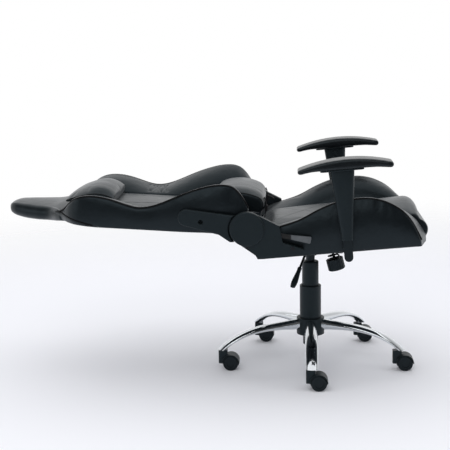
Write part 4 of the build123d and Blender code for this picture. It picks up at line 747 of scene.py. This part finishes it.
def pillow_cut(tall, low, high):
    """The head pillow in side view: a blunt edge towards the seat and a thin one at the head."""
    length = high - low
    side = [(high - length * share, LIE + tall * rise) for share, rise in (
        (0.01, 0.25), (0.0, 0.6), (0.26, 1.0), (0.55, 0.86), (0.8, 0.52), (0.97, 0.16),
        (1.0, 0.07))]
    cut = line((low + 5, LIE), (high - 6, LIE), 24)
    cut += arc((high - 6, LIE), side[0], side[1], 8) + arc(side[1], side[2], side[3], 20)
    return cut + arc(side[3], side[4], side[5], 16) + arc(side[5], side[6], (low + 5, LIE), 6)


WELT_D = 3.2
for name, body, stands_for, side_view, start, length, half_w, thick, end, edge in (
        ("lumbar_case", "lumbar", "lumbar_cushion", lumbar_cut, -48, 166, 148, 79, 0.74, 9),
        ("head_pillow_case", "back", "head_pillow", pillow_cut, 434, 161, 134, 53, 0.5, 7)):
    near_end = (end + 2) / 3
    fat_at = ((-1.0, end), (-0.8, near_end), (-0.5, 0.97), (0.0, 1.0), (0.5, 0.97),
              (0.8, near_end), (1.0, end))
    rows = []
    for y in rows_between(-half_w, half_w, 40, edge):
        fat = eased(fat_at, 1, y / half_w)
        draw = length * 0.06 * (1 - fat)
        cut = side_view(thick * fat, -start - length + draw, -start - draw)
        rows.append(rounded_end(np.array([(x, y, z) for x, z in cut]), half_w - abs(y), edge))
    count = len(rows[0])
    case = cover(name, rows, BACK_AT)
    stuffed(case, held_points(len(rows), count, range(25)), 4.0, 0.006)
    finer(case, 1)
    upholster(case, body, 0.7, stands_for)
    for side, row in (("right", rows[4]), ("left", rows[-5])):
        piping(name + "_welt_" + side, row[24:count:2], BACK_AT, WELT_D, body)

# Lumbar straps: two webbing straps, each with a slide buckle, come out under the lumbar cushion and
# go down behind the seat. The left one's tail lies loose. They ride with the lumbar cushion.
STRAP = [(46, 74, 25, 2), (50, 66, 25, 2), (52, 56, 25, 2), (53, 50, 25, 3), (54, 49, 30, 8),
         (54, 33, 30, 8), (53, 32, 25, 3), (50, 10, 25, 2)]
TAIL = [(56, 46, 22, 4), (62, 46, 22, 4), (70, 43, 22, 4), (76, 38, 22, 4)]
FLAT_CUT = ((-1, -1), (0, -1), (1, -1), (1, 1), (0, 1), (-1, 1))
STRAP_Y = 104
for name, path, across, sign in (("lumbar_strap_right", STRAP, (1, 0.15), -1),
                                 ("lumbar_strap_left", STRAP, (1, 0.15), 1),
                                 ("strap_tail_left", TAIL, (0.35, 0.94), 1)):
    rows = []
    for along, level, wide, thick in path:
        cut = [(dy * wide / 2, dn * thick / 2) for dy, dn in FLAT_CUT]
        rows.append([(along + across[0] * up, sign * STRAP_Y + out, level + across[1] * up)
                     for out, up in cut])
    strap = cover(name, rows, BACK_AT)
    strap.data.shade_flat()
    strap.data.materials.append(elastic)
    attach(strap, "lumbar")
    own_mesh(strap)

# Armrests: a steel post carries a tapered moulded sleeve with a press button, and a soft pad of
# polyurethane foam with its own moulded skin.
dress(moulded, "arm_sleeve_right", "arm_sleeve_left", "arm_button_right", "arm_button_left")

# Integral skin foam: satin black, smooth to the hand, with a very fine leather print
skinned, tree, shader = finish("integral_skin_foam", {"Specular IOR Level": 0.45,
                                                      "Specular Tint": linear("#d2e0e8")})
PRINT, TOUCH = 0.0012, 0.05
prints = speckle(tree, "TexVoronoi", PRINT, feature="F1").outputs["Distance"]
touch = speckle(tree, "TexNoise", TOUCH, Detail=4.0).outputs["Fac"]
mottle(tree, shader, touch, "#07090b", "#0d1113")
gloss(tree, shader, touch, 0.24, 0.36)
grain(tree, shader, prints, 0.2, 0.00015)
for side in ("right", "left"):
    pad = bpy.data.objects.new("arm_pad_skin_" + side, nodes["arm_pad_" + side].data.copy())
    scene.collection.objects.link(pad)
    blocks = pad.modifiers.new("blocks", "REMESH")
    blocks.mode = "VOXEL"
    blocks.voxel_size = 0.004
    even = pad.modifiers.new("even", "SMOOTH")
    even.factor = 0.5
    even.iterations = 6
    finer(pad, 1)
    pad.data.materials.clear()
    pad.data.materials.append(skinned)
    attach(pad, "arm_" + side)
    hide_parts("arm_pad_" + side)
